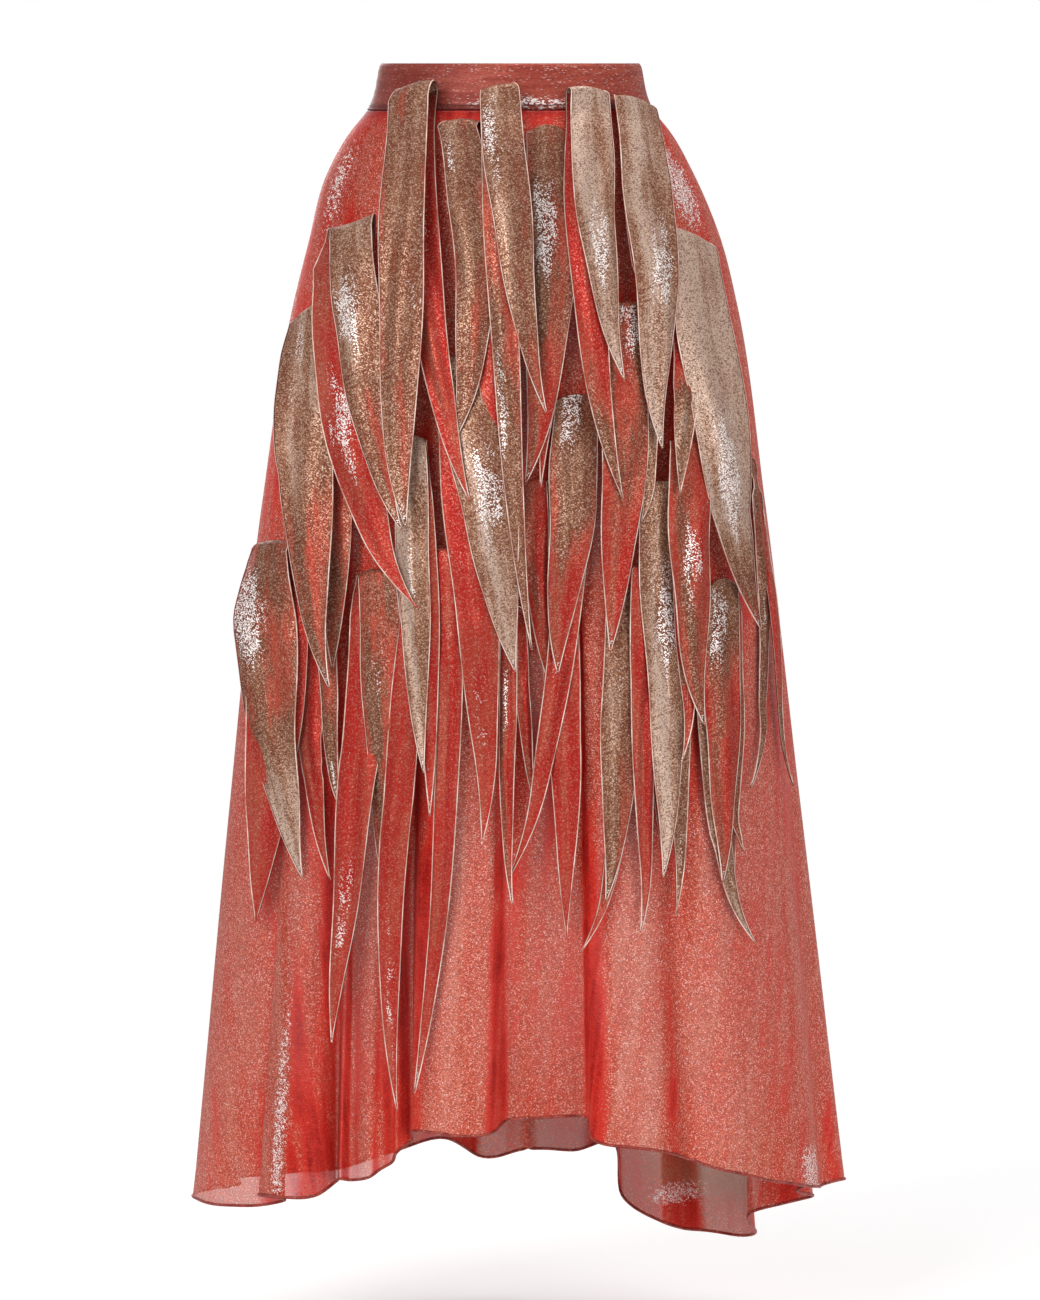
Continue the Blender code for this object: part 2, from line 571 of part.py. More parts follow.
def build_zip(collection, tools):
    """The tape inside the centre back seam, and at its top the slider with its hanging pull."""

    def tape_point(column, row):
        drop = TAPE_DROPS[row]
        turn = (column / 2 - 1) * TAPE_WIDTH / 2 / arc_per_degree(180, drop)
        return cone_point(180 + turn, drop, -TAPE_DEPTH)

    sheet("zip_tape", 4, len(TAPE_DROPS) - 1, tape_point, TAPE_WALL, -1, collection, "cloth")

    place, below = (cone_point(180.0, drop, BAND_PROUD) for drop in (SLIDER_DROP, BAND_ROWS[1]))
    slope = math.atan2(below[1] - place[1], place[2] - below[2])
    body_out = -BAND_WALL - SLIDER_GAP - SLIDER_BODY[1] / 2
    neck_end = RING_OUT - (RING_RADIUS + RING_HOLE) / 2
    neck_size = (NECK[0], neck_end - body_out, NECK[1])
    slider = mesh_object("zip_slider", lambda bm: box(bm, SLIDER_BODY, (0, body_out, 0)), collection, "metal")
    neck = mesh_object(
        "slider_neck", lambda bm: box(bm, neck_size, (0, (body_out + neck_end) / 2, 0)), tools, "metal"
    )
    ring = mesh_object(
        "slider_ring", lambda bm: disc(bm, RING_RADIUS, RING_WALL, (0, RING_OUT, 0), 20), tools, "metal"
    )
    hole = mesh_object(
        "slider_hole", lambda bm: disc(bm, RING_HOLE, RING_WALL * 3, (0, RING_OUT, 0), 16), tools, "metal"
    )
    pull = mesh_object("zip_pull", pull_outline, collection, "metal")
    thick = pull.modifiers.new("wall", "SOLIDIFY")
    thick.thickness = PULL_WALL * MM
    thick.offset = 0
    eye_centre = (0, 0, -PULL_EDGE - EYE[1] / 2)
    eye = mesh_object("pull_eye", lambda bm: box(bm, (EYE[0], 4, EYE[1]), eye_centre), tools, "metal")
    join(slider, neck, "UNION")
    join(slider, ring, "UNION")
    join(slider, hole, "DIFFERENCE")
    join(pull, eye, "DIFFERENCE")
    hinge = Matrix.Translation(place) @ Matrix.Rotation(slope, 4, "X")
    for made in (slider, neck, ring, hole):
        made.matrix_world = hinge
    for made in (pull, eye):
        made.matrix_world = hinge @ Matrix.Translation((0, RING_OUT * MM, 0))


def main():
    for existing in list(bpy.data.objects):
        bpy.data.objects.remove(existing)
    collection = bpy.data.collections.new("fringe_midi_skirt")
    tools = bpy.data.collections.new("cutters")
    for made in (collection, tools):
        bpy.context.scene.collection.children.link(made)
    azimuths = [fold.azimuth for fold in FOLDS]
    left_side, right_side = azimuths.index(-93) - 0.5, azimuths.index(94) + 0.5
    build_waistband(collection)
    build_panel("front_panel", left_side, right_side, collection)
    build_panel("back_right_panel", 0, left_side, collection)
    build_panel("back_left_panel", right_side, len(FOLDS), collection)
    cover = Cover()
    build_strips(FRONT_PIECES, "front", False, cover, collection)
    build_strips(BACK_PIECES, "back", True, cover, collection)
    build_zip(collection, tools)


main()
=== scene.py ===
# %% [markdown]
# # A fringe midi skirt
#
# The real skirt is cut from a sheer metallic organza: a fitted waistband, a wide A-line with a wavy hem, and
# rows of long leaf-shaped strips, each folded over at its top and sewn on along that fold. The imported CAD
# model gives every size. This script keeps its frame and dresses it: each solid is replaced by a thin sheet
# of cloth on the same form, with the creases, rolled edges and glitter that a solid can't carry.

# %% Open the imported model
import math
from collections import namedtuple

import bmesh
import bpy
import numpy as np
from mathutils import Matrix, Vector
from mathutils.bvhtree import BVHTree


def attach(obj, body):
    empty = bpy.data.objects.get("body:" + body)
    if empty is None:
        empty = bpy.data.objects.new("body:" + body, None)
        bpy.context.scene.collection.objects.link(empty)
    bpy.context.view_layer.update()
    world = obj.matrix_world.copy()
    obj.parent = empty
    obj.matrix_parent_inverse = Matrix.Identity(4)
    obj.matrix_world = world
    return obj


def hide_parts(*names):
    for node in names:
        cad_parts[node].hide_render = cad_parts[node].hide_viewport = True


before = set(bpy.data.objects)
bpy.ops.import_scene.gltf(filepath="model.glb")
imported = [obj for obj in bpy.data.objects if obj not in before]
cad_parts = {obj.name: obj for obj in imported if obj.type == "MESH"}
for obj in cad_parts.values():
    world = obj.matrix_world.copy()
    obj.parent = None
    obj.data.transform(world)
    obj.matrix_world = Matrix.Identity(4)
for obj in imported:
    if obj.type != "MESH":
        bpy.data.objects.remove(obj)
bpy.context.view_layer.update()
MM = 0.001

# %% [markdown]
# ## Camera
#
# The photograph is taken straight from the front, from about hip height and looking a little down, with a
# long lens. One pixel of it is 0.86 mm at the skirt, so the lens follows from that scale and the distance.

# %% Set the camera
PHOTO_HEIGHT_PX = 1300
MM_PER_PX = 0.86
SENSOR = 36.0
camera_place = Vector((0.0082, -4.6, -0.22))
camera_aim = Vector((0.0082, 0, -0.5024))
camera_data = bpy.data.cameras.new("photo_camera")
camera = bpy.data.objects.new("photo_camera", camera_data)
bpy.context.scene.collection.objects.link(camera)
bpy.context.scene.camera = camera
camera.location = camera_place
camera.rotation_euler = (camera_aim - camera_place).to_track_quat("-Z", "Y").to_euler()
camera_data.sensor_fit = "VERTICAL"
camera_data.sensor_height = SENSOR
camera_data.lens = SENSOR * (camera_aim - camera_place).length / (PHOTO_HEIGHT_PX * MM_PER_PX * MM)
print(f"lens {camera_data.lens:.1f} mm")

# %% [markdown]
# ## A way to write materials
#
# Each finish below is a small graph of nodes round one Principled shader. Each helper puts one step of such
# a graph in place: put makes a node and fills its inputs, by value or by a link, and the others use it for a
# soft step between two values, a mix or a run of colours, an uneven cloud, and the flecks of metal yarn.


# %% Nodes, steps, mixes and sums
def new_material(name):
    """An empty Principled material: (material, shader)."""
    made = bpy.data.materials.new(name)
    made.use_nodes = True
    return made, made.node_tree.nodes["Principled BSDF"]


def put(made, kind, inputs=(), **settings):
    """Adds a node. Its inputs are given by name or number, as values or as sockets to link."""
    added = made.node_tree.nodes.new(kind)
    for key, value in settings.items():
        setattr(added, key, value)
    for key, value in dict(inputs).items():
        if isinstance(value, bpy.types.NodeSocket):
            made.node_tree.links.new(value, added.inputs[key])
        else:
            added.inputs[key].default_value = value
    return added


def step(made, value, low, high, to_low=0.0, to_high=1.0):
    """Maps value smoothly from low..high to to_low..to_high."""
    inputs = {"Value": value, "From Min": low, "From Max": high, "To Min": to_low, "To Max": to_high}
    return put(made, "ShaderNodeMapRange", inputs, interpolation_type="SMOOTHSTEP").outputs["Result"]


def mix(made, share, first, second, blend="MIX"):
    """A colour between two, by share, or one laid over the other."""
    inputs = {0: share, 6: first, 7: second}
    return put(made, "ShaderNodeMix", inputs, data_type="RGBA", blend_type=blend).outputs[2]


def ramp(made, value, stops):
    """A colour that runs through the stops, each a position and a colour."""
    added = put(made, "ShaderNodeValToRGB", {"Fac": value})
    elements = added.color_ramp.elements
    while len(elements) < len(stops):
        elements.new(1.0)
    for element, (position, colour) in zip(elements, stops):
        element.position, element.color = position, (*colour, 1)
    return added.outputs["Color"]


def add(made, first, second, operation="ADD", clamp=True):
    """Two numbers put together."""
    return put(made, "ShaderNodeMath", {0: first, 1: second}, operation=operation, use_clamp=clamp).outputs[0]


print("nodes, steps, mixes and sums ready")


# %% Patterns on the cloth
def spread(made, scale, solid=False):
    """Flat places on the cloth, this many to the metre, or on a bare solid as seen from behind."""
    if solid:
        place = put(made, "ShaderNodeTexCoord").outputs["Object"]
        spot = put(made, "ShaderNodeSeparateXYZ", {0: place}).outputs
        flat = put(made, "ShaderNodeCombineXYZ", {"X": spot["X"], "Y": spot["Z"]}).outputs[0]
    else:
        flat = put(made, "ShaderNodeUVMap", uv_map="flat").outputs[0]
    return put(made, "ShaderNodeMapping", {"Vector": flat, "Scale": (*scale, 1)}).outputs[0]


def cloud(made, scale, detail=2.0, solid=False):
    """A soft, uneven cloud from about 0 to about 1."""
    inputs = {"Vector": spread(made, scale, solid), "Scale": 1.0, "Detail": detail, "Roughness": 0.6}
    noise = put(made, "ShaderNodeTexNoise", inputs, noise_dimensions="2D").outputs["Fac"]
    return step(made, noise, 0.28, 0.72)


def uneven(made, value, scale, low, high, detail=3.0, clamp=True):
    """A value that a cloud moves by between low and high, from place to place."""
    return add(made, value, step(made, cloud(made, scale, detail), 0.0, 1.0, low, high), clamp=clamp)


def flecks(made, scale, solid=False):
    """Another chance value from 0 to 1 for each small patch of metal yarn."""
    inputs = {"Vector": spread(made, scale, solid), "Scale": 1.0}
    colour = put(made, "ShaderNodeTexVoronoi", inputs, voronoi_dimensions="2D").outputs["Color"]
    return put(made, "ShaderNodeSeparateColor", {0: colour}).outputs[0]


print("clouds and flecks ready")

# %% Glitter, grain and painted values
FLECK_RELIEF = 0.2 * MM


def glitter(made, cloth, fleck, shine, plain=0.12, keen=0.56, dark=0.5):
    """Scatters light and dark flecks over a colour: few where it is plain, most in a painted highlight."""
    edge = step(made, shine, 0.0, 1.0, 1 - plain, 1 - keen)
    bright = step(made, fleck, edge, add(made, edge, 0.22, clamp=False))
    bright = add(made, bright, step(made, shine, 0.0, 0.8, 0.5, 1.0), "MULTIPLY")
    cloth = mix(made, step(made, fleck, 0.42, 0.0, 0.0, dark), cloth, SPECK_DARK)
    return mix(made, bright, cloth, SPECK_LIGHT)


def painted(made, name):
    """A value painted on the cloth's points."""
    return put(made, "ShaderNodeAttribute", attribute_name=name).outputs["Fac"]


def grain(made, fleck, strength=0.5):
    """The low relief of the flecks."""
    inputs = {"Height": fleck, "Strength": strength, "Distance": FLECK_RELIEF}
    return put(made, "ShaderNodeBump", inputs).outputs[0]


def finish(made, shader, **inputs):
    """Links or sets the shader's own inputs."""
    for key, value in inputs.items():
        socket = shader.inputs[key.replace("_", " ")]
        if isinstance(value, bpy.types.NodeSocket):
            made.node_tree.links.new(value, socket)
        else:
            socket.default_value = value
    return made


print("the flecks stand", FLECK_RELIEF / MM, "mm proud")

# %% [markdown]
# ## The finishes
#
# The organza is woven from coral silk and a flat metallic yarn, so up close it is a salt-and-pepper of dark
# and bright specks: champagne where the metal faces out, coral where the silk shows through it. The specks
# could come from an image of the weave. Small cells of chance colour, a little under a millimetre across,
# are used instead, because they stay sharp however near the camera comes. The skirt is sheer, so its shader
# lets about a fifth of the light straight through, and less where the cloth is doubled.
# SILK and METAL are runs of colour: from deep red in a fold to pale pink on a crest, and from bare coral to
# champagne. On SILK the pale pink is a painted sheen and the deepest reds are painted shade. What is painted
# on the cloth's points says where each place lies on its run.

# %% Name the colours
SPECK_LIGHT = (0.90, 0.82, 0.79, 1)
SPECK_DARK = (0.10, 0.018, 0.013, 1)
SPECK_PINK = (0.84, 0.31, 0.215, 1)
SPECK_GOLD = (0.66, 0.45, 0.34, 1)
BRONZE_SHEEN = (0.46, 0.25, 0.15, 1)
PANEL_SHADE = (0.48, 0.30, 0.30, 1)
FOLD_SHADE = (0.22, 0.006, 0.005, 1)
BAND_SHADE_COLOUR = (0.07, 0.008, 0.008, 1)
EDGE_SHADOW = (0.075, 0.003, 0.003, 1)
GRAIN = (1120, 1120)
SILK = (
    (0.0, (0.34, 0.004, 0.004)),
    (0.2, (0.63, 0.028, 0.017)),
    (0.45, (0.58, 0.064, 0.035)),
    (0.75, (0.56, 0.120, 0.078)),
    (1.0, (0.66, 0.23, 0.17)),
)
METAL = (
    (0.0, (0.42, 0.018, 0.012)),
    (0.25, (0.42, 0.063, 0.036)),
    (0.5, (0.19, 0.066, 0.033)),
    (0.75, (0.28, 0.132, 0.074)),
    (1.0, (0.52, 0.37, 0.29)),
)


# %% Organza of the skirt
def organza():
    """Sheer coral organza with a painted pink sheen on crests, painted shade in folds, and a fine glitter."""
    made, shader = new_material("sheer_organza")
    fleck = flecks(made, (1300, 1450))
    # The crest value: painted sheen, with more bright flecks, towards 1 and painted shade towards 0.
    crest = uneven(made, painted(made, "crest"), (24, 15), -0.07, 0.07)
    crest = uneven(made, crest, (55, 3.5), -0.12, 0.12)
    crest = uneven(made, crest, (110, 1300), -0.05, 0.05, detail=1.0)
    cloth = ramp(made, crest, SILK)
    # Painted highlights where the glint patches lie.
    shine = step(made, uneven(made, painted(made, "glint"), (170, 330), 0.0, 0.4, detail=2.0), 0.38, 1.0)
    keen = step(made, crest, 0.16, 0.5)
    dark = add(made, step(made, keen, 0.0, 1.0, 0.1, 0.52), step(made, fleck, 0.5, 0.0), "MULTIPLY")
    light = add(made, step(made, keen, 0.0, 1.0, 0.1, 0.65), step(made, fleck, 0.55, 1.0), "MULTIPLY")
    white = add(made, keen, step(made, fleck, 0.9, 0.98, 0.0, 0.45), "MULTIPLY")
    for share, colour in ((dark, SPECK_DARK), (light, SPECK_PINK), (white, SPECK_LIGHT)):
        cloth = mix(made, share, cloth, colour)
    # Bronze inside the back hem: the cloth's metal side, painted as a sheen where it shows below the front.
    bronze = add(made, painted(made, "bronze"), step(made, fleck, 0.0, 1.0, 0.35, 1.0), "MULTIPLY")
    cloth = mix(made, bronze, cloth, BRONZE_SHEEN)
    # Painted shade, laid over the cloth.
    cloth = mix(made, painted(made, "shade"), cloth, PANEL_SHADE, blend="MULTIPLY")
    cloth = glitter(made, cloth, fleck, shine, plain=0.05, dark=0.0)
    alpha = add(made, step(made, fleck, 0.0, 1.0, 0.76, 0.86), painted(made, "doubled"))
    rough = step(made, fleck, 0.2, 0.9, 0.6, 0.4)
    return finish(
        made, shader, Base_Color=cloth, Alpha=alpha, Normal=grain(made, fleck, 0.4), Roughness=rough,
        Metallic=0.25, Specular_IOR_Level=0.12,
    )


sheer_organza = organza()
print(sheer_organza.name, len(sheer_organza.node_tree.nodes), "nodes")


# %% Organza of the strips
def strip_organza():
    """The same cloth, metal side out: champagne and bronze fading to coral, with painted sheen and glints."""
    made, shader = new_material("strip_organza")
    fleck = flecks(made, GRAIN)
    # Painted sheen in long streaks: lighter on the soft folds of the cloth, darker between them.
    sheen_streak = cloud(made, (150, 6), 3.0)
    gold = uneven(made, painted(made, "gold"), (45, 16), -0.09, 0.09)
    gold = add(made, gold, step(made, sheen_streak, 0.0, 1.0, -0.05, 0.08))
    cloth = ramp(made, gold, METAL)
    # Painted shade inside the fold.
    cloth = mix(made, painted(made, "shade"), cloth, FOLD_SHADE)
    # Painted highlights where the glint values lie.
    shine = uneven(made, painted(made, "glint"), (110, 28), 0.0, 0.36, detail=1.0, clamp=False)
    shine = step(made, shine, 0.3, 1.22)
    shine = add(made, shine, step(made, sheen_streak, 0.6, 1.0, 0.0, 0.16))
    dark = add(made, step(made, gold, 0.1, 0.5, 0.3, 0.75), step(made, fleck, 0.5, 0.0), "MULTIPLY")
    light = add(made, step(made, gold, 0.1, 0.9, 0.2, 0.7), step(made, fleck, 0.6, 1.0), "MULTIPLY")
    cloth = mix(made, dark, cloth, SPECK_DARK)
    cloth = mix(made, light, cloth, SPECK_GOLD)
    cloth = glitter(made, cloth, fleck, shine, plain=0.06, dark=0.0)
    alpha = add(made, step(made, gold, 0.0, 0.45, 0.86, 0.98), painted(made, "doubled"))
    rough = step(made, fleck, 0.2, 0.9, 0.55, 0.35)
    return finish(
        made, shader, Base_Color=cloth, Alpha=alpha, Normal=grain(made, fleck), Roughness=rough,
        Metallic=0.45, Specular_IOR_Level=0.14,
    )


strip_cloth = strip_organza()
print(strip_cloth.name, len(strip_cloth.node_tree.nodes), "nodes")


# %% Waistband, rolled edges, hem, stitching and zip
def flecked(
    name, stops, shade=None, metallic=0.2, rough=0.45, scale=GRAIN, dark=0.5, patch=(60, 160), solid=False
):
    """A flecked finish for the close cloth and threads: darker in painted shade, lighter in painted glints.
    """
    made, shader = new_material(name)
    fleck = flecks(made, scale, solid)
    cloth = ramp(made, cloud(made, patch, 3.0, solid), stops)
    # Painted highlights where a glint is painted.
    shine = step(made, painted(made, "glint"), 0.0, 1.0, 0.05, 1.0)
    cloth = glitter(made, cloth, fleck, shine, dark=dark)
    if shade:
        cloth = mix(made, painted(made, "shade"), cloth, shade)
    return finish(
        made, shader, Base_Color=cloth, Normal=grain(made, fleck), Roughness=rough, Metallic=metallic,
        Specular_IOR_Level=0.2,
    )


# The band: painted shade along its seam and over its left side.
band_cloth = flecked(
    "band_organza", ((0, (0.29, 0.040, 0.025)), (1, (0.38, 0.074, 0.047))), BAND_SHADE_COLOUR, scale=(560, 1400),
    patch=(18, 240),
)
# The rolled edge: a pale thread, with a painted shadow on its outer side.
edge_thread = flecked(
    "rolled_edge", ((0, (0.48, 0.22, 0.165)), (0.5, (0.74, 0.48, 0.39)), (1, (0.93, 0.78, 0.68))), EDGE_SHADOW,
    scale=(700, 700), dark=0.3, patch=(20, 25),
)
hem_thread = flecked("hem_roll", ((0, (0.20, 0.016, 0.012)), (1, (0.40, 0.070, 0.048))), patch=(20, 60))
stitch_thread = flecked("topstitch", ((0, (0.14, 0.022, 0.018)), (1, (0.24, 0.05, 0.04))), metallic=0.0)
tape_cloth = flecked(
    "zip_tape_weave", ((0, (0.16, 0.022, 0.018)), (1, (0.24, 0.04, 0.03))), metallic=0.0, rough=0.7,
    solid=True,
)
painted_metal = flecked(
    "painted_metal", ((0, (0.32, 0.13, 0.10)), (1, (0.44, 0.22, 0.17))), metallic=0.9, rough=0.3, dark=0.1,
    solid=True,
)
print("threads and metal ready")

# %% [markdown]
# ## Light and floor
#
# A white studio: soft light from all round, a large soft box at the upper left that makes the metal yarn
# glint, a weaker one at the right, one above, and one behind that shines through the sheer cloth. Each lamp
# is its place, its size in metres and its power in watts. The camera sees a plain white surround, and the
# pale floor fades into it, so that no horizon crosses the picture. The floor lies a few centimetres below
# the lowest point of the hem.

# %% Light the studio
SURROUND = 0.55
WHITE = (1, 1, 1, 1)
LAMP_AIM = Vector((0, 0, -0.5))
LAMPS = {
    "key": ((-1.7, -3.0, 1.0), 2.0, 78),
    "fill": ((2.4, -2.6, 0.1), 1.8, 30),
    "top": ((0.3, 0.4, 2.2), 1.6, 34),
    "back": ((-0.6, 3.2, 0.6), 2.0, 34),
}
bpy.context.scene.view_settings.view_transform = "Standard"
world = bpy.data.worlds.new("studio")
bpy.context.scene.world = world
world.use_nodes = True
world_nodes = world.node_tree.nodes
world_nodes["Background"].inputs["Color"].default_value = WHITE
world_nodes["Background"].inputs["Strength"].default_value = SURROUND
seen = put(world, "ShaderNodeBackground", {"Color": WHITE}).outputs[0]
from_camera = put(world, "ShaderNodeLightPath").outputs["Is Camera Ray"]
around = {0: from_camera, 1: world_nodes["Background"].outputs[0], 2: seen}
around = put(world, "ShaderNodeMixShader", around).outputs[0]
world.node_tree.links.new(around, world_nodes["World Output"].inputs["Surface"])
for name, (place, size, power) in LAMPS.items():
    lamp_data = bpy.data.lights.new(name, "AREA")
    lamp_data.size, lamp_data.energy = size, power
    lamp = bpy.data.objects.new(name, lamp_data)
    lamp.location = place
    lamp.rotation_euler = (LAMP_AIM - Vector(place)).to_track_quat("-Z", "Y").to_euler()
    bpy.context.scene.collection.objects.link(lamp)
print(len(LAMPS), "lamps")

# %% Lay the floor
FLOOR_DROP = 1.10
FLOOR_RADIUS = 3.0
FLOOR_FADE = (0.6, 1.8)
FLOOR_COLOUR = (0.96, 0.96, 0.96, 1)
floor_material, floor_shader = new_material("pale_floor")
spot = put(floor_material, "ShaderNodeTexCoord").outputs["Object"]
level = put(floor_material, "ShaderNodeVectorMath", {0: spot, 1: (1, 1, 0)}, operation="MULTIPLY").outputs[0]
away = put(floor_material, "ShaderNodeVectorMath", {0: level}, operation="LENGTH").outputs["Value"]
finish(
    floor_material, floor_shader, Base_Color=FLOOR_COLOUR, Roughness=0.9,
    Alpha=step(floor_material, away, *FLOOR_FADE, 1.0, 0.0),
)
floor_bm = bmesh.new()
bmesh.ops.create_circle(floor_bm, cap_ends=True, segments=96, radius=FLOOR_RADIUS)
bmesh.ops.translate(floor_bm, verts=floor_bm.verts, vec=(0, 0, -FLOOR_DROP))
floor_mesh = bpy.data.meshes.new("floor")
floor_bm.to_mesh(floor_mesh)
floor_mesh.materials.append(floor_material)
floor = bpy.data.objects.new("floor", floor_mesh)
bpy.context.scene.collection.objects.link(floor)
print("floor", FLOOR_DROP, "m below the waist")

# %% [markdown]
# ## The form of the skirt
#
# Every place on the skirt is an azimuth round it (0 at the centre front, 90 at the wearer's left), a drop
# below the waist, and how far out it stands from a plain cone. The tables are the cut's own: the sections of
# that cone, and the ridges and valleys of the hem, in millimetres and degrees, as in the CAD model. The
# solids' own meshes could be smoothed instead, but they are walls of loose triangles. Read from the tables
# at many more places, the cloth is one clean sheet with smooth flutes.

# %% Sections and flutes
Section = namedtuple("Section", "drop half_width front back sway")
SECTIONS = [Section(*row) for row in (
    (0, 110.5, 85, 87, 0), (40, 122, 94, 97, 0), (58, 136.5, 104, 108, 0), (92, 156, 120, 124, 0),
    (152, 177, 137, 141, 4), (204, 190, 146, 150, 4), (376, 215, 162, 166, 3), (634, 238, 172, 177, 4),
    (892, 256, 178, 184, 6), (1080, 268, 181, 188, 8),
)]

Fold = namedtuple("Fold", "azimuth lean out hem")
FOLDS = [Fold(*row) for row in (
    (-180, -2, 4, 964), (-171, -2.5, 24, 974), (-161, -2.5, -22, 949), (-146, 0, 24, 978),
    (-132, -1, -20, 971), (-118, -1, 22, 976), (-105, 0, -8, 973), (-93, 0, 20, 975),
    (-74, 1.5, 12, 973), (-61, 1, 2, 969), (-56, 2.5, -18, 964), (-52, -1.5, 16, 955),
    (-46, 1.5, 24, 953), (-41.5, 1.5, 6, 952), (-38.5, 0, -18, 943), (-35.5, -0.5, -6, 938),
    (-33.5, -1, -16, 940), (-30, 0.5, -4, 936), (-27.5, 0, -12, 929), (-25.5, 0, -20, 923),
    (-23.5, -0.5, -12, 914), (-21.5, 0, -26, 904), (-19, -1.5, -4, 894), (-15, -1, 20, 892),
    (-9, 0, 27, 893), (-4.5, 0, 14, 892), (-1.5, -0.5, -18, 885), (5, -0.5, -28, 885),
    (13, 0.5, -27, 884), (15.5, -1.5, 0, 900), (20, -0.5, 26, 904), (27, 0.5, 22, 910),
    (33, 0.5, 4, 920), (41, -0.5, 18, 930), (53, 1.5, 16, 945), (69, 4.5, 8, 959), (82, 4, 2, 964),
    (94, 0, 24, 963), (104, 0, -10, 977), (112, -0.5, 16, 989), (122, 1.5, -20, 1006),
    (131, 2, 24, 1035), (142, 2.5, 24, 1036), (150, -1, -20, 1022), (160, -1, -4, 1004),
    (165, -4, 12, 959), (171, -2.5, -12, 962),
)]
WAIST_DIP = 4.1
DIP_FADE = 160.0
FOLD_START = 250.0
FOLD_FULL = 980.0
FOLD_POWER = 1.5
HEM_EASE = 250.0
LAST_LEVEL = 950.0
BAND_HEIGHT = 40.0
print(len(SECTIONS), "sections,", len(FOLDS), "ridges and valleys")


# %% Smooth curves through the tables
def blend_through(keys, values, at):
    """A smooth curve through the points, as cubic pieces whose slopes follow their neighbours."""
    keys, values = np.asarray(keys, float), np.asarray(values, float)
    slopes = np.gradient(values, keys)
    at = np.clip(at, keys[0], keys[-1])
    left = np.clip(np.searchsorted(keys, at, side="right") - 1, 0, len(keys) - 2)
    span = keys[left + 1] - keys[left]
    t = (at - keys[left]) / span
    return (
        values[left] * (1 + 2 * t) * (1 - t) ** 2
        + values[left + 1] * t * t * (3 - 2 * t)
        + span * slopes[left] * t * (1 - t) ** 2
        - span * slopes[left + 1] * t * t * (1 - t)
    )


def section(drop):
    """The plain cone's half width, front depth, back depth and sway at a drop."""
    drops = [s.drop for s in SECTIONS]
    return [blend_through(drops, [s[i] for s in SECTIONS], drop) for i in range(1, 5)]

print("waist half width", float(section(0)[0]), "mm")


# %% From azimuth, drop and height to a point
def cone_point(azimuth, drop, out):
    """The point, in metres, that stands out from the cone by so much at an azimuth and a drop."""
    half_width, front, back, sway = section(drop)
    turn = np.radians(azimuth)
    side, ahead = np.sin(turn), np.cos(turn)
    depth = np.where(ahead > 0, front, back)
    normal_side, normal_ahead = side / half_width, ahead / depth
    length = np.hypot(normal_side, normal_ahead)
    x = sway + half_width * side + out * normal_side / length
    ahead_by = depth * ahead + out * normal_ahead / length
    dip = WAIST_DIP * ahead * np.clip(1 - drop / DIP_FADE, 0, 1)
    return np.stack([x, -ahead_by, -drop - dip + 0 * out], axis=-1) * MM


def arc_per_degree(azimuth, drop):
    """Millimetres round the cone for each degree of azimuth."""
    half_width, front, back, _ = section(drop)
    turn = np.radians(azimuth)
    depth = np.where(np.cos(turn) > 0, front, back)
    return np.radians(1) * np.hypot(half_width * np.cos(turn), depth * np.sin(turn))

print("one degree round the back of the waist is", round(float(arc_per_degree(180, 0)), 2), "mm")


# %% How the cloth folds towards the hem
def fold_at(place):
    """Azimuth, lean, out and hem of the cloth at a place counted in rows of FOLDS, round and round."""
    count, reach = len(FOLDS), 3
    rows = range(-reach, count + reach + 1)
    found = []
    for column in range(4):
        turns = [360 * (row // count) if column == 0 else 0 for row in rows]
        values = [FOLDS[row % count][column] + turn for row, turn in zip(rows, turns)]
        found.append(blend_through(list(rows), values, place))
    return found


def growth(drop):
    """How much of the hem's folding has grown at a drop, from 0 at FOLD_START to 1 near the hem."""
    return np.clip((drop - FOLD_START) / (FOLD_FULL - FOLD_START), 0, 1.12) ** FOLD_POWER


print("the folds have grown to", round(float(growth(600)), 2), "at a drop of 600 mm")


# %% [markdown]
# ## A way to lay cloth
#
# A sheet of cloth is a flat grid, moved point by point onto its form. The grid keeps a flat map of itself in
# metres, as the cut pattern would lie, so the weave runs straight on the cloth however it is draped. Values
# such as how much metal shows are painted on its points.


# %% Small sums
def rising(value, start, length):
    """0 up to start, then evenly up to 1 over a length."""
    return np.clip((value - start) / length, 0, 1)


def hump(value, middle, width):
    """1 at the middle, falling softly to 0 on both sides."""
    return np.exp(-(((value - middle) / width) ** 2))


def toward(value, target, share):
    """A value moved a share of the way to a target."""
    return value * (1 - share) + target * share


def lengths(points, axis=0):
    """The distances from each point to the next."""
    return np.linalg.norm(np.diff(points, axis=axis), axis=-1)


def unit(vectors):
    """The same directions, each one unit long."""
    return vectors / np.maximum(np.linalg.norm(vectors, axis=-1, keepdims=True), 1e-12)


def smoothed(line, window=np.ones(5) / 5):
    """A row of values, each averaged with its neighbours."""
    return np.convolve(np.pad(line, len(window) // 2, mode="edge"), window, mode="valid")


print("a hump of 1 at its middle:", float(hump(0, 0, 1)))


# %% Lay a grid
def new_bmesh(paints):
    """An empty mesh that can hold a flat map and painted values."""
    bm = bmesh.new()
    bm.loops.layers.uv.new("flat")
    for name in paints:
        bm.verts.layers.float.new(name)
    return bm


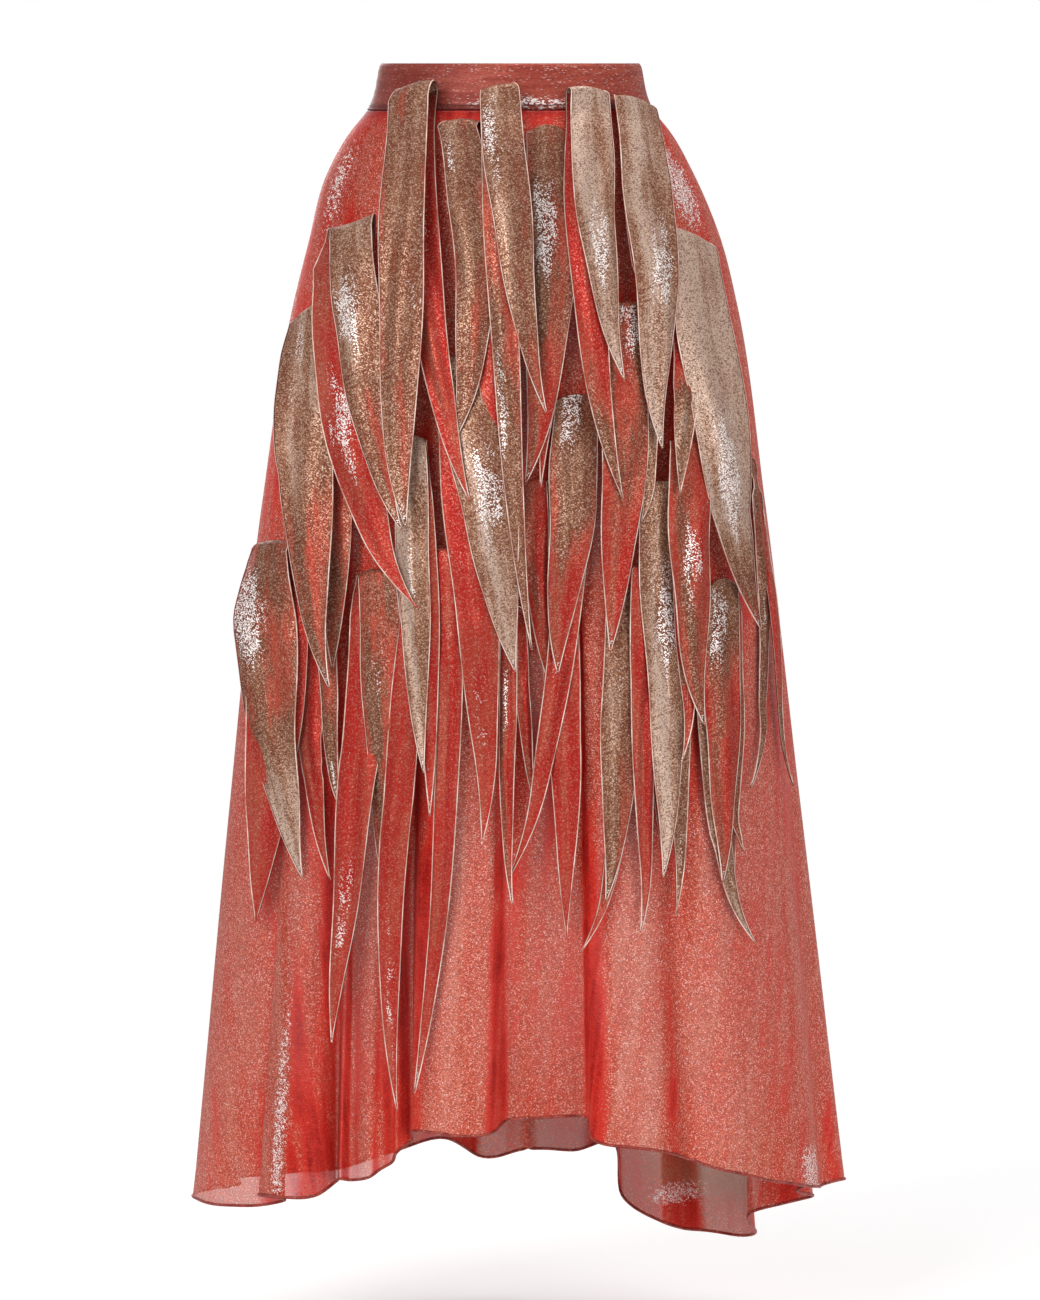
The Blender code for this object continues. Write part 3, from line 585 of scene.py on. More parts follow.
def lay_grid(bm, points, paint=()):
    """Adds a grid whose point at (row, column) lies at points[row, column]."""
    rows, columns = points.shape[:2]
    u = np.concatenate([np.zeros((rows, 1)), np.cumsum(lengths(points, 1), axis=1)], axis=1)
    u -= u.mean(axis=1, keepdims=True)
    v = np.concatenate([[0], np.cumsum(lengths(points[:, columns // 2]))])
    made = bmesh.ops.create_grid(bm, x_segments=columns - 1, y_segments=rows - 1, size=1)["verts"]
    place = {}
    for vertex in made:
        column = round((vertex.co.x + 1) / 2 * (columns - 1))
        row = round((1 - vertex.co.y) / 2 * (rows - 1))
        place[vertex] = (row, column)
    layers = [(bm.verts.layers.float[name], values) for name, values in dict(paint).items()]
    for vertex, (row, column) in place.items():
        vertex.co = points[row, column]
        for layer, values in layers:
            vertex[layer] = values[row, column]
    flat = bm.loops.layers.uv["flat"]
    for face in {face for vertex in made for face in vertex.link_faces}:
        for loop in face.loops:
            row, column = place[loop.vert]
            loop[flat].uv = (u[row, column], v[row])
    return made


print("grids ready")

# %% Roll a cord
THREAD_SIDES = 4


def lay_cord(bm, path, outward, radius, sides=6, outside=0):
    """Adds a thin tube along a path, rolled up from a grid and closed at both ends.

    Its shade is painted on the side that outside names: 1 or -1 for either side of the path, 0 for none.
    """
    tangent = unit(np.gradient(path, axis=0))
    aside = unit(np.cross(tangent, outward))
    up = np.cross(aside, tangent)
    angle = np.linspace(0, 2 * math.pi, sides + 1)[None, :]
    thick = np.full((len(path), 1), radius)
    thick[[0, -1]] = 0
    rise, side = thick * np.cos(angle), thick * np.sin(angle)
    shade = np.clip(outside * np.sin(angle) * 3.0 - 1.2, 0, 1) * np.ones_like(rise)
    ring = rise[..., None] * up[:, None] + side[..., None] * aside[:, None]
    made = lay_grid(bm, path[:, None] + ring, {"shade": shade} if outside else {})
    bmesh.ops.remove_doubles(bm, verts=made, dist=radius * 0.02)


def lay_thread(bm, azimuth, drop, out, radius):
    """Adds a fine, square thread that follows these places on the cone."""
    path = cone_point(azimuth, drop, out)
    lay_cord(bm, path, unit(cone_point(azimuth, drop, out + 1) - path), radius, sides=THREAD_SIDES)


print("a thread has", THREAD_SIDES, "sides")


# %% Make it a piece
def cloth_object(name, bm, material):
    """The finished piece: smooth, riding on the skirt, with its finish."""
    mesh = bpy.data.meshes.new(name)
    bm.to_mesh(mesh)
    bm.free()
    mesh.materials.append(material)
    mesh.shade_smooth()
    made = bpy.data.objects.new(name, mesh)
    bpy.context.scene.collection.objects.link(made)
    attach(made, "skirt")
    return made


# %% [markdown]
# ## The panels
#
# The real skirt has one wide front panel and two back panels. Cut as part of a circle, they hang smooth
# over the hips and fall into flutes. A cloth simulation could drape them, but it would choose its own
# flutes, and the photograph shows where each one lies. So each panel is one sheet laid on the fluted cone,
# with the small things that a solid leaves out: soft creases that run down from the waist seam, and cloth
# between the flutes that is a little uneven. Both only ever sink in, because strips lie close on top.

# %% Drape a panel
FINE = 9
PANEL_ROWS = 118
WAIST_SEAM = 1.0
CREASE_DEPTH = 1.6
PUCKER, PUCKER_HEIGHT = 0.5, 22
Drape = namedtuple("Drape", "upright azimuth drop hem out grown sink points")


def creases(azimuth, drop):
    """How far the cloth sinks at its soft creases: fanned below the waist, long and faint lower down."""
    fan = np.sin(np.radians(azimuth * 17 + 40 * np.sin(np.radians(azimuth * 3)) + drop * 0.6))
    fan = np.clip(fan, 0, 1) ** 3 * rising(drop, 41, 25) * hump(drop, 60, 95)
    drift = np.sin(np.radians(azimuth * 9.0 + drop * 0.35))
    drift = drift * np.sin(np.radians(azimuth * 4.0 - drop * 0.22 + 50))
    slow = (0.5 + 0.5 * drift) * rising(drop, 120, 200)
    return CREASE_DEPTH * (fan + 0.55 * slow)


def drape(first, last):
    """The form of a panel between two rows of FOLDS, in rows from the waist seam down to the hem."""
    columns = round((last - first) * FINE) + 1
    levels = np.linspace(BAND_HEIGHT + WAIST_SEAM, LAST_LEVEL, PANEL_ROWS)[:, None]
    plain, lean, out, hem = fold_at(np.linspace(first, last, columns)[None, :])
    drop = levels + (hem - LAST_LEVEL) * rising(levels, HEM_EASE, LAST_LEVEL - HEM_EASE)
    grown = growth(drop)
    azimuth = plain + lean * grown
    sink = creases(azimuth, drop)
    pucker = PUCKER * np.sin(np.radians(azimuth * 31)) * rising(drop - hem, -PUCKER_HEIGHT, PUCKER_HEIGHT)
    points = cone_point(azimuth, drop, out * grown - sink + pucker)
    return Drape(plain + 0 * drop, azimuth, drop, hem, out, grown, sink, points)


azimuths = [fold.azimuth for fold in FOLDS]
left_side, right_side = azimuths.index(-93) - 0.5, azimuths.index(94) + 0.5
drapes = {
    "front_panel": drape(left_side, right_side),
    "back_right_panel": drape(0, left_side),
    "back_left_panel": drape(right_side, len(FOLDS)),
}
print({name: draped.points.shape[:2] for name, draped in drapes.items()})

# %% [markdown]
# ## The tones of the panels
#
# Two layers of sheer cloth make a red that one layer doesn't, so the sides of the flutes and the folds that
# turn away are deep red. The pink on the crests is a painted sheen, and painted shade darkens the creases,
# the cloth under the strips and the cloth just below the band. The form gives most of that: a ray sent out
# from the cloth tells whether a strip lies over it, and the slope of the cloth tells where it turns away. The
# rest follows the photograph in soft patches of painted highlight, painted shade and red fold: each is a
# place, its half size round and down, and its strength.

# %% The patches
Patch = namedtuple("Patch", "azimuth drop half_turn half_drop strength")
# GLINTS are painted highlights and SHADES are painted shade; RED_FOLDS are deep red folds.
GLINTS = (
    Patch(30, 75, 6, 30, 0.8), Patch(62, 105, 9, 36, 1.0), Patch(-66, 105, 8, 45, 0.6),
    Patch(-47.6, 900, 1.3, 130, 0.75), Patch(-66, 985, 1.6, 26, 0.6), Patch(66, 942, 6, 22, 0.95),
    Patch(27, 935, 4, 12, 0.6), Patch(147, 998, 6, 9, 1.1),
)
SHADES = (
    Patch(-62, 95, 22, 95, 0.6), Patch(72, 110, 18, 90, 0.25), Patch(-44, 900, 14, 260, 0.3),
    Patch(7, 900, 8, 160, 0.2), Patch(-37.6, 930, 1.4, 150, 0.9), Patch(-90, 800, 12, 400, 0.2),
)
RED_FOLDS = (
    Patch(-72, 300, 15, 220, 0.75), Patch(78, 450, 13, 420, 0.5), Patch(-45, 870, 2.2, 260, 1.0),
    Patch(-36, 860, 1.2, 240, 0.9), Patch(-32.5, 930, 0.7, 150, 0.7), Patch(-26, 900, 1.6, 200, 0.9),
    Patch(-4, 930, 1.5, 200, 1.0), Patch(16, 900, 1.2, 260, 0.9), Patch(29, 880, 2.2, 200, 0.8),
    Patch(58, 800, 12, 400, 0.3), Patch(-76, 850, 3, 250, 0.4),
)


def patches(table, azimuth, drop):
    """How much of the soft patches in a table lies at each place."""
    found = np.zeros(np.broadcast(azimuth, drop).shape)
    for patch in table:
        turn, fall = (azimuth - patch.azimuth) / patch.half_turn, (drop - patch.drop) / patch.half_drop
        found = np.maximum(found, patch.strength * np.exp(-(turn**2) - fall**2))
    return found


print(len(GLINTS), "glints,", len(SHADES), "shades,", len(RED_FOLDS), "red folds")

# %% Where strips lie over the cloth, and where it turns away
OVERHEAD = 90.0
strip_corners, strip_faces = [], []
for node_name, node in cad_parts.items():
    if node_name.startswith(("front_", "back_")) and not node_name.endswith("panel"):
        first = len(strip_corners)
        strip_corners += [vertex.co.copy() for vertex in node.data.vertices]
        strip_faces += [tuple(first + corner for corner in face.vertices) for face in node.data.polygons]
strips_shape = BVHTree.FromPolygons(strip_corners, strip_faces)


def sheltered(points, azimuth, drop):
    """Where the strips lie over the cloth: 1 under them, softening to 0 beside them."""
    outwards = cone_point(azimuth, drop, np.full_like(azimuth, OVERHEAD))
    lies = np.zeros(azimuth.shape)
    for spot in np.ndindex(azimuth.shape):
        start, way = Vector(points[spot]), Vector(outwards[spot] - points[spot])
        hit = strips_shape.ray_cast(start + way * 0.01, way.normalized(), OVERHEAD * MM)
        lies[spot] = hit[0] is not None
    for axis in (0, 1):
        lies = np.apply_along_axis(smoothed, axis, lies)
    return lies


def facing(points, azimuth, drop):
    """How squarely the cloth faces out from the cone: 1 on a crest or in a trough, less on a flute's side."""
    across, along = np.gradient(points, axis=1), np.gradient(points, axis=0)
    plain = cone_point(azimuth, drop, np.ones_like(azimuth)) - cone_point(azimuth, drop, 0 * azimuth)
    return np.abs((unit(np.cross(across, along)) * unit(plain)).sum(axis=-1))


print(len(strip_faces), "faces of strips to cast rays at")

# %% Paint and sew the panels
# Tones on SILK: open cloth with a painted pink sheen, turned cloth, and cloth in painted shade under the
# strips and below the band.
OPEN_TONE, TURNED_TONE, STRIP_SHADOW_TONE, BAND_SHADOW_TONE = 0.62, 0.2, 0.13, 0.04
SEAM_WIDTH = 5.0


def panel_paint(draped, behind):
    """A panel's painted sheen and shade, doubled cloth, painted glints, and bronze sheen inside the hem."""
    azimuth, drop, hem = draped.azimuth, draped.drop, draped.hem
    turned = np.clip((0.86 - facing(draped.points, azimuth, drop)) / 0.22, 0, 1)
    covered = sheltered(draped.points, azimuth, drop)
    top = np.exp(-(drop - BAND_HEIGHT) / 10)
    aside = rising(np.abs((azimuth + 180) % 360 - 180), 50, 30) * np.clip((150 - azimuth) / 30, 0, 1)
    # Painted sheen on ridges that stand out, painted shade in troughs and creases, and redder cloth towards
    # the sides.
    crest = OPEN_TONE + 0.28 * draped.grown * np.clip(draped.out / 40, -0.6, 0.6)
    crest = crest - 0.12 * draped.sink / CREASE_DEPTH - 0.08 * aside
    crest = toward(toward(crest, TURNED_TONE, turned), TURNED_TONE, patches(RED_FOLDS, draped.upright, drop))
    # Painted shade under the strips and just below the band.
    crest = toward(toward(np.maximum(0.18, crest), STRIP_SHADOW_TONE, 0.9 * covered), BAND_SHADOW_TONE, top)
    inside = rising(drop - hem, -110, 60) * behind
    # Painted shade inside the back hem, in the patches of SHADES, and just below the band.
    shade = 0.45 * inside * np.clip((azimuth - 145) / 15, 0.3, 1)
    shade = np.maximum(patches(SHADES, draped.upright, drop) + 0.5 * top, shade)
    # Painted bronze sheen inside the back hem, only where it shows below the front.
    bronze = inside * np.clip((hem - drop - 28) / 12, 0, 1) * np.exp(-(((azimuth - 134) / 17) ** 4))
    from_side = np.minimum(azimuth - azimuth[:, :1], azimuth[:, -1:] - azimuth)
    seam = np.clip(1.5 - from_side * arc_per_degree(azimuth, drop) / SEAM_WIDTH, 0, 1)
    doubled = np.maximum(0.12 * seam, 0.15 * np.maximum(turned, covered)) + 0.12 * inside
    doubled = np.maximum(doubled, 0.13 * np.clip(1.3 - drop / 500, 0, 1) + 0.05 * aside)
    return {
        "crest": np.clip(crest, 0, 1), "doubled": doubled, "glint": patches(GLINTS, draped.upright, drop),
        "shade": shade, "bronze": bronze,
    }


for name, draped in drapes.items():
    paint = panel_paint(draped, name.startswith("back"))
    bm = new_bmesh(paint)
    lay_grid(bm, draped.points, paint)
    cloth_object(name + "_cloth", bm, sheer_organza)
    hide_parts(name)

# %% [markdown]
# ## The rolled hem
#
# The hem is turned and overlocked into a thin cord. It shows as a fine dark line that follows every flute,
# and it gives the edge of the cloth a thickness that the eye can see. A curve with a round bevel would make
# it too. Here it is a tube rolled up from a grid, which has the same kind of flat map as the cloth.

# %% Roll the hems
HEM_RADIUS = 1.35 * MM
HEM_WAVE, HEM_PITCH = 0.35 * MM, 9 * MM
for name, draped in drapes.items():
    points = draped.points
    path = points[-1].copy()
    path[:, 2] += HEM_WAVE * np.sin(np.concatenate([[0], np.cumsum(lengths(path))]) / HEM_PITCH)
    beyond = cone_point(draped.azimuth[-1], draped.drop[-1], draped.out[0] * draped.grown[-1] + 1)
    bm = new_bmesh(())
    lay_cord(bm, path, unit(beyond - points[-1]), HEM_RADIUS)
    hem = cloth_object(name + "_hem", bm, hem_thread)

# %% [markdown]
# ## The waistband
#
# A firm, contoured band of doubled cloth. Its outside is pulled into faint level creases by the wearer's
# waist, its top edge is a soft fold, and two rows of topstitching hold the seam to the skirt. Only its
# outside is shaped. Two modifiers then give it a wall and soften the wall's edges, which is simpler than
# shaping the inside as well.

# %% Shape the waistband
BAND_PROUD = 0.7
TOP_ROUND = 1.6
BAND_WALL = 1.6
BAND_SLOT = 2.4
BAND_COLUMNS = 360
BAND_ROWS = 34


def band_creases(azimuth, drop):
    """Level creases that come and go round the band, deepest low at the front."""
    wave = np.sin(drop * 0.75 + 0.9 * np.sin(np.radians(azimuth * 5)) + np.radians(azimuth * 2))
    come = np.clip(np.sin(np.radians(azimuth * 3 + 70)) + 0.3, 0, 1)
    return 0.28 * wave * come * np.sin(np.pi * rising(drop, 0, BAND_HEIGHT))


slot = BAND_SLOT / 2 / arc_per_degree(180.0, 0.0)
band_azimuth = np.linspace(-180 + slot, 180 - slot, BAND_COLUMNS)[None, :]
band_drop = np.linspace(0, BAND_HEIGHT, BAND_ROWS)[:, None]
seam_dent = 0.45 * hump(band_drop, 36.5, 1.2) + 0.45 * hump(band_drop, 39.4, 0.8)
band_out = BAND_PROUD - seam_dent + band_creases(band_azimuth, band_drop)
band_out = band_out - TOP_ROUND * np.clip(1 - band_drop / 4, 0, 1) ** 2
band_points = cone_point(band_azimuth + 0 * band_drop, band_drop, band_out)
ahead = np.clip(np.cos(np.radians(band_azimuth)), 0, 1)
# Painted highlights on the band, and painted shade along the grooves of its seam and over its left side.
band_shine = hump(band_azimuth, 5, 22) * hump(band_drop, 35, 6) + 0.2 * hump(band_drop, 6, 5) * ahead
band_shade = hump(band_drop, 36.6, 1.0) + 0.8 * hump(band_drop, 39.7, 0.9)
band_shade = band_shade + 0.42 * rising(-band_azimuth, 0, 40)
bm = new_bmesh(("glint", "shade"))
lay_grid(bm, band_points, {"glint": band_shine, "shade": np.clip(band_shade, 0, 0.8)})
waistband = cloth_object("waistband_cloth", bm, band_cloth)
wall = waistband.modifiers.new("wall", "SOLIDIFY")
wall.thickness = BAND_WALL * MM
wall.offset = -1
soften = waistband.modifiers.new("soft_edges", "BEVEL")
soften.width = 0.5 * MM
soften.segments = 2
soften.limit_method = "ANGLE"
soften.angle_limit = math.radians(50)
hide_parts("waistband")

# %% [markdown]
# Topstitching is a row of small thread humps. One hump is a short tube that dives into the cloth at both
# ends, repeated round the band. Bumps in the finish would do from afar, but these also show from the side.

# %% Topstitch the band
STITCH_DROPS = (36.4, 39.2)
STITCH_PITCH = 3.2
STITCH_LENGTH = 2.5
THREAD_RADIUS = 0.24 * MM
bm = new_bmesh(())
for row_drop in STITCH_DROPS:
    round_it = float(np.sum(arc_per_degree(np.arange(-179.5, 180.0), row_drop)))
    count = int(round_it / STITCH_PITCH)
    for index in range(count):
        start = -178.5 + 357.0 * index / count
        reach = STITCH_LENGTH / arc_per_degree(start, row_drop)
        share = np.linspace(0, 1, 5)
        lift = 0.75 + 0.28 * np.sin(np.pi * share)
        lay_thread(bm, start + reach * share, row_drop + 0 * share, lift, THREAD_RADIUS)
topstitch = cloth_object("waistband_topstitch", bm, stitch_thread)
print("stitches", len(topstitch.data.polygons) // (4 * THREAD_SIDES))

# %% [markdown]
# ## The strips
#
# Each strip is one ribbon folded over at its top into two pointed tails, one over the other. The table says
# where each tail starts and ends, seen from in front of that side of the skirt, how wide it is, how its
# middle line bows and how late it tapers. These are the CAD model's own numbers.

# %% The strips' places
Tail = namedtuple("Tail", "across drop tip_across tip_drop width bow full")
Piece = namedtuple("Piece", "name over under")


def pieces(*rows):
    """One side's strips: for each its name, its over tail and its under tail."""
    return [Piece(name, Tail(*over), Tail(*under)) for name, over, under in rows]


FRONT_PIECES = pieces(
    ("waist_a", (-86, 29, -95, 389, 34, -2, 5), (-76, 31, -38, 368, 27, -13, 4)),
    ("waist_b", (-45, 53, -45, 323, 34, 15, 3), (-37, 54, -6, 363, 27, 0, 4)),
    ("waist_c", (-9, 26, 26, 296, 32, -4, 2.2), (-14, 28, 15, 490, 22, -4, 3)),
    ("waist_d", (31, 54, 17, 354, 37, 9, 3.5), (40, 56, 22, 358, 20, 8, 3)),
    ("waist_e", (69, 24, 92, 268, 33, -6, 2.5), (61, 27, 91, 367, 27, -10, 3.5)),
    ("waist_f", (111, 33, 119, 325, 39, 9, 3), (105, 34.5, 108, 203, 26, 2, 3)),
    ("hip_left", (-134, 148, -98, 392, 40, -6, 3), (-138, 150, -91, 456, 38, -22, 3)),
    ("hip_right", (156, 152, 203, 480, 40, 0, 3.5), (147, 153, 141, 363, 26, 6, 3)),
    ("side_left", (-168, 212, -160, 524, 36, -6, 3), (-160, 216, -150, 510, 32, 6, 4)),
    ("knee_left", (-176, 412, -176, 684, 38, -8, 3), (-192, 414, -215, 726, 34, 2, 4)),
    ("front_a", (-41, 257, 0, 508, 48, 4, 2.6), (-46, 259, -16, 652, 38, 2, 3)),
    ("front_b", (55, 281, 35, 511, 38, 5, 3), (64, 288, 9, 684, 26, 7, 3)),
    ("front_c", (97, 208, 83, 493, 38, 5, 3), (105, 214, 118, 386, 22, 2, 3)),
    ("front_d", (-84, 322, -75, 592, 26, -1, 3), (-79, 324, -67, 629, 22, 2, 3)),
    ("front_e", (20, 352, 37, 532, 24, -5, 2.5), (26, 354, 44, 730, 32, 10, 3)),
    ("front_f", (124, 356, 132, 680, 34, 4, 3), (134, 364, 143, 714, 22, 3, 3)),
    ("front_g", (152, 322, 158, 556, 34, -2, 3), (144, 326, 152, 584, 20, 0, 3)),
    ("front_h", (0, 456, -1, 702, 14, -2, 3), (7, 462, 20, 620, 13, -2, 3)),
    ("low_a", (-112, 430, -105, 704, 34, 2, 2.5), (-118, 432, -155, 820, 30, -10, 3)),
    ("low_b", (-67, 412, -82, 860, 28, 6, 3.5), (-72, 414, -98, 876, 24, -12, 4)),
    ("low_c", (-154, 456, -145, 634, 15, -3, 3), (-161, 458, -154, 686, 22, -10, 3)),
    ("low_d", (96, 444, 84, 699, 32, 2, 3), (100, 446, 72, 741, 22, 9, 3)),
    ("low_e", (112, 424, 116, 726, 20, -2, 3), (120, 430, 126, 664, 16, 0, 3)),
    ("low_f", (180, 438, 181, 688, 30, -2, 3), (184, 440, 188, 664, 22, 2, 3)),
    ("low_g", (161, 490, 195, 741, 22, -9, 3.5), (174, 492, 186, 716, 15, 4, 3)),
    ("side_right", (206, 336, 207, 612, 14, 8, 3), (211, 344, 232, 616, 13, 3, 3)),
)
BACK_PIECES = pieces(
    ("waist_a", (-92, 27, -99, 384, 34, -2, 5), (-80, 29, -62, 402, 27, -9, 4)),
    ("waist_b", (-46, 55, -40, 330, 34, 6, 3), (-38, 56, -22, 372, 24, 2, 4)),
    ("waist_c", (38, 52, 30, 348, 36, 7, 3.5), (46, 54, 38, 372, 20, 6, 3)),
    ("waist_d", (82, 26, 98, 310, 33, -6, 2.8), (74, 28, 84, 376, 27, -4, 3.5)),
    ("waist_e", (106, 56, 122, 340, 34, 8, 3), (101, 58, 108, 282, 26, 4, 3)),
    ("hip_left", (-149, 148, -122, 444, 38, -4, 3), (-139, 151, -96, 480, 32, -12, 3)),
    ("hip_right", (140, 88, 172, 414, 38, 12, 3.5), (134, 92, 142, 372, 26, 6, 3)),
    ("side_left", (-182, 236, -176, 560, 34, -3, 3), (-174, 240, -158, 520, 28, 4, 4)),
    ("side_right", (192, 300, 204, 640, 34, 2, 3), (184, 304, 190, 580, 24, 0, 3)),
    ("back_a", (-50, 262, -22, 524, 44, -4, 2.6), (-60, 268, -42, 664, 30, -6, 3)),
    ("back_b", (60, 250, 50, 536, 38, 5, 3), (68, 256, 34, 690, 26, 6, 3)),
    ("back_c", (112, 296, 104, 598, 36, 4, 3), (120, 300, 128, 560, 22, 2, 3)),
    ("back_d", (-104, 330, -98, 640, 34, -4, 3), (-94, 334, -84, 690, 22, 0, 3)),
    ("back_e", (10, 372, 16, 640, 28, 4, 3), (0, 376, -6, 736, 24, -2, 3)),
    ("low_a", (-148, 420, -140, 720, 34, 2, 2.8), (-158, 424, -166, 800, 28, 6, 3)),
    ("low_b", (-66, 446, -74, 788, 30, 5, 3), (-56, 450, -48, 730, 20, 2, 3)),
    ("low_c", (76, 456, 70, 800, 30, 2, 3), (84, 460, 92, 742, 20, 4, 3)),
    ("low_d", (148, 430, 142, 740, 32, -4, 3), (158, 434, 164, 700, 20, 0, 3)),
)
print(len(FRONT_PIECES), "strips in front,", len(BACK_PIECES), "behind")

# %% [markdown]
# ## How each tail looks
#
# On some tails the metal side faces out and they are champagne; others are nearly bare coral. Most fade
# towards the point. A glint is a painted highlight, a patch painted almost white where the cloth turns
# square to the key light, and a soft band of painted sheen wanders along each tail.
# Each tail's look is its gold at the top and at the tip (0 coral, 0.5 bronze, 1 champagne), the share of its
# length where it changes, and the share, side and strength of its glint. Its hook bends the point to the
# viewer's right, by HOOK_GAIN millimetres for each unit, and tipped is the glint at the point. The back,
# which isn't shown, takes three plain looks in turn.

# %% Looks of the tails
Look = namedtuple("Look", "top tip turn glint side strength hook tipped", defaults=[0.6])
PLAIN = Look(0.05, 0.05, 0.5, 0.4, 0, 0.15, 0)
LOOKS = {
    "waist_a": (Look(0.54, 0.52, 0.6, 0.45, 0.7, 0.35, 5), Look(0.05, 0.1, 0.5, 0.35, 0.2, 0.35, 3)),
    "waist_b": (Look(0.56, 0.5, 0.4, 0.06, -0.7, 0.6, -3), Look(0.05, 0.05, 0.5, 0.5, 0.2, 0.2, 2)),
    "waist_c": (Look(0.62, 0.2, 0.8, 0.12, -0.6, 0.95, 3), Look(0.35, 0.55, 0.5, 0.6, -0.5, 0.6, 2)),
    "waist_d": (Look(0.47, 0.2, 0.66, 0.28, -0.3, 1.1, -3), Look(0.05, 0.1, 0.5, 0.5, 0, 0.2, 2)),
    "waist_e": (Look(0.92, 0.85, 0.5, 0.55, 0.1, 1.0, 2), Look(0.0, 0.5, 0.75, 0.3, 0, 0.3, 2)),
    "waist_f": (Look(0.82, 0.88, 0.6, 0.5, 0.3, 1.0, 5), Look(0.1, 0.1, 0.5, 0.4, 0, 0.2, 4)),
    "hip_left": (Look(0.68, 0.42, 0.55, 0.26, -0.35, 1.05, 5), Look(0.1, 0.05, 0.5, 0.5, -0.2, 0.85, 9)),
    "hip_right": (Look(1.0, 0.25, 0.84, 0.6, 0.0, 1.15, 4), Look(0.0, 0.75, 0.6, 0.4, 0, 0.2, 0)),
    "side_left": (Look(0.72, 0.4, 0.5, 0.12, -0.4, 0.5, 6), Look(0.25, 0.4, 0.5, 0.4, 0, 0.2, 2)),
    "knee_left": (Look(0.42, 0.9, 0.6, 0.2, -0.6, 1.3, 2), Look(0.0, 0.05, 0.5, 0.3, 0, 0.15, 2)),
    "front_a": (Look(0.68, 0.84, 0.5, 0.42, 0.1, 1.05, 3), Look(0.05, 0.1, 0.5, 0.75, 0, 0.4, -5)),
    "front_b": (Look(0.54, 0.16, 0.55, 0.03, -0.3, 1.0, 3), Look(0.3, 0.05, 0.3, 0.5, -0.6, 0.3, -8)),
    "front_c": (Look(0.34, 0.1, 0.6, 0.03, 0.2, 0.8, 0), Look(0.5, 0.7, 0.4, 0.6, 0, 0.3, -5)),
    "front_d": (Look(0.86, 0.8, 0.5, 0.4, 0, 0.5, 2), Look(0.2, 0.1, 0.5, 0.4, 0, 0.2, 0)),
    "front_e": (Look(0.15, 0.1, 0.5, 0.5, 0, 0.25, 0), Look(0.1, 0.05, 0.5, 0.3, 0.2, 0.25, 2)),
    "front_f": (Look(0.66, 0.92, 0.5, 0.33, 0.0, 0.95, -3), Look(0.5, 0.6, 0.5, 0.8, 0, 0.6, -4)),
    "front_g": (Look(0.22, 0.35, 0.5, 0.4, 0.1, 0.85, 3), Look(0.1, 0.1, 0.5, 0.3, 0, 0.3, -6)),
    "front_h": (Look(0.2, 0.15, 0.5, 0.3, -0.2, 0.6, 2), Look(0.1, 0.1, 0.5, 0.3, 0, 0.3, 0)),
    "low_a": (Look(0.36, 0.34, 0.6, 0.3, 0, 0.4, 2), Look(0.0, 0.1, 0.6, 0.75, 0.0, 0.7, 3)),
    "low_b": (PLAIN, PLAIN._replace(glint=0.8, strength=0.5, hook=3)),
    "low_c": (Look(0.3, 0.5, 0.5, 0.8, 0, 0.7, 5), PLAIN._replace(hook=2)),
    "low_d": (Look(0.6, 0.5, 0.6, 0.3, 0, 0.3, -3), Look(0.0, 0.2, 0.7, 0.5, 0, 0.15, -9)),
    "low_e": (PLAIN._replace(hook=-5), PLAIN),
    "low_f": (Look(0.62, 0.2, 0.25, 0.12, -0.3, 0.9, -3), Look(0.3, 0.4, 0.5, 0.5, 0, 0.6, 4)),
    "low_g": (Look(0.55, 0.75, 0.5, 0.6, 0, 1.0, 6), Look(0.1, 0.3, 0.6, 0.6, 0, 0.5, 4)),
    "side_right": (Look(0.45, 0.5, 0.5, 0.5, 0, 0.5, -6), Look(0.1, 0.5, 0.7, 0.7, 0, 0.4, 5)),
}
BACK_LOOKS = (
    (Look(0.75, 0.6, 0.6, 0.25, -0.4, 0.8, 4), Look(0.05, 0.1, 0.5, 0.5, 0, 0.3, -3)),
    (Look(0.6, 0.25, 0.7, 0.4, 0.3, 0.5, -4), Look(0.2, 0.05, 0.5, 0.5, 0, 0.2, 3)),
    (Look(0.88, 0.7, 0.5, 0.5, 0.1, 1.0, 3), Look(0.05, 0.3, 0.6, 0.4, 0, 0.4, 4)),
)
print(len(LOOKS), "looks")

# %% [markdown]
# ## Reading the solids
#
# How far each tail stands off the skirt is already settled in the CAD model, where no strip touches another.
# A ray sent in through the skirt at a tail's middle line says how high its solid lies, and rays sent out
# from it say how much free space lies above. The cloth may curl and crown only within that space.

# %% Helpers that read the solids
FAR_OUT, FAR_IN = 130.0, -60.0
CAP = 7.0
CLEAR_OF_OTHERS, CLEAR_OF_OWN = 0.4, 0.2
shapes = {}
for node_name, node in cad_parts.items():
    corners = [vertex.co.copy() for vertex in node.data.vertices]
    shapes[node_name] = BVHTree.FromPolygons(corners, [tuple(face.vertices) for face in node.data.polygons])


def heights(shape, azimuth, drop):
    """Every height above the cone at which a ray sent inwards meets a solid."""
    start = Vector(cone_point(azimuth, drop, FAR_OUT))
    way = Vector(cone_point(azimuth, drop, FAR_IN)) - start
    reach = way.length
    way.normalize()
    found, gone = [], 0.0
    while gone < reach:
        hit = shape.ray_cast(start + way * gone, way, reach - gone)
        if hit[0] is None:
            break
        gone += hit[3] + 1e-5
        found.append(FAR_OUT - gone / MM)
    return found


def room_above(name, azimuth, drop, out):
    """Free space, in millimetres, above a tail at this place, up to CAP."""
    start = Vector(cone_point(azimuth, drop, out + 1.2))
    way = (Vector(cone_point(azimuth, drop, out + 10)) - start).normalized()
    free = CAP
    for other, shape in shapes.items():
        hit = shape.ray_cast(start, way, CAP * MM)
        if hit[0] is not None:
            free = min(free, hit[3] / MM - (CLEAR_OF_OTHERS if other != name else CLEAR_OF_OWN))
    return max(0.0, free)


print(len(shapes), "solids read")

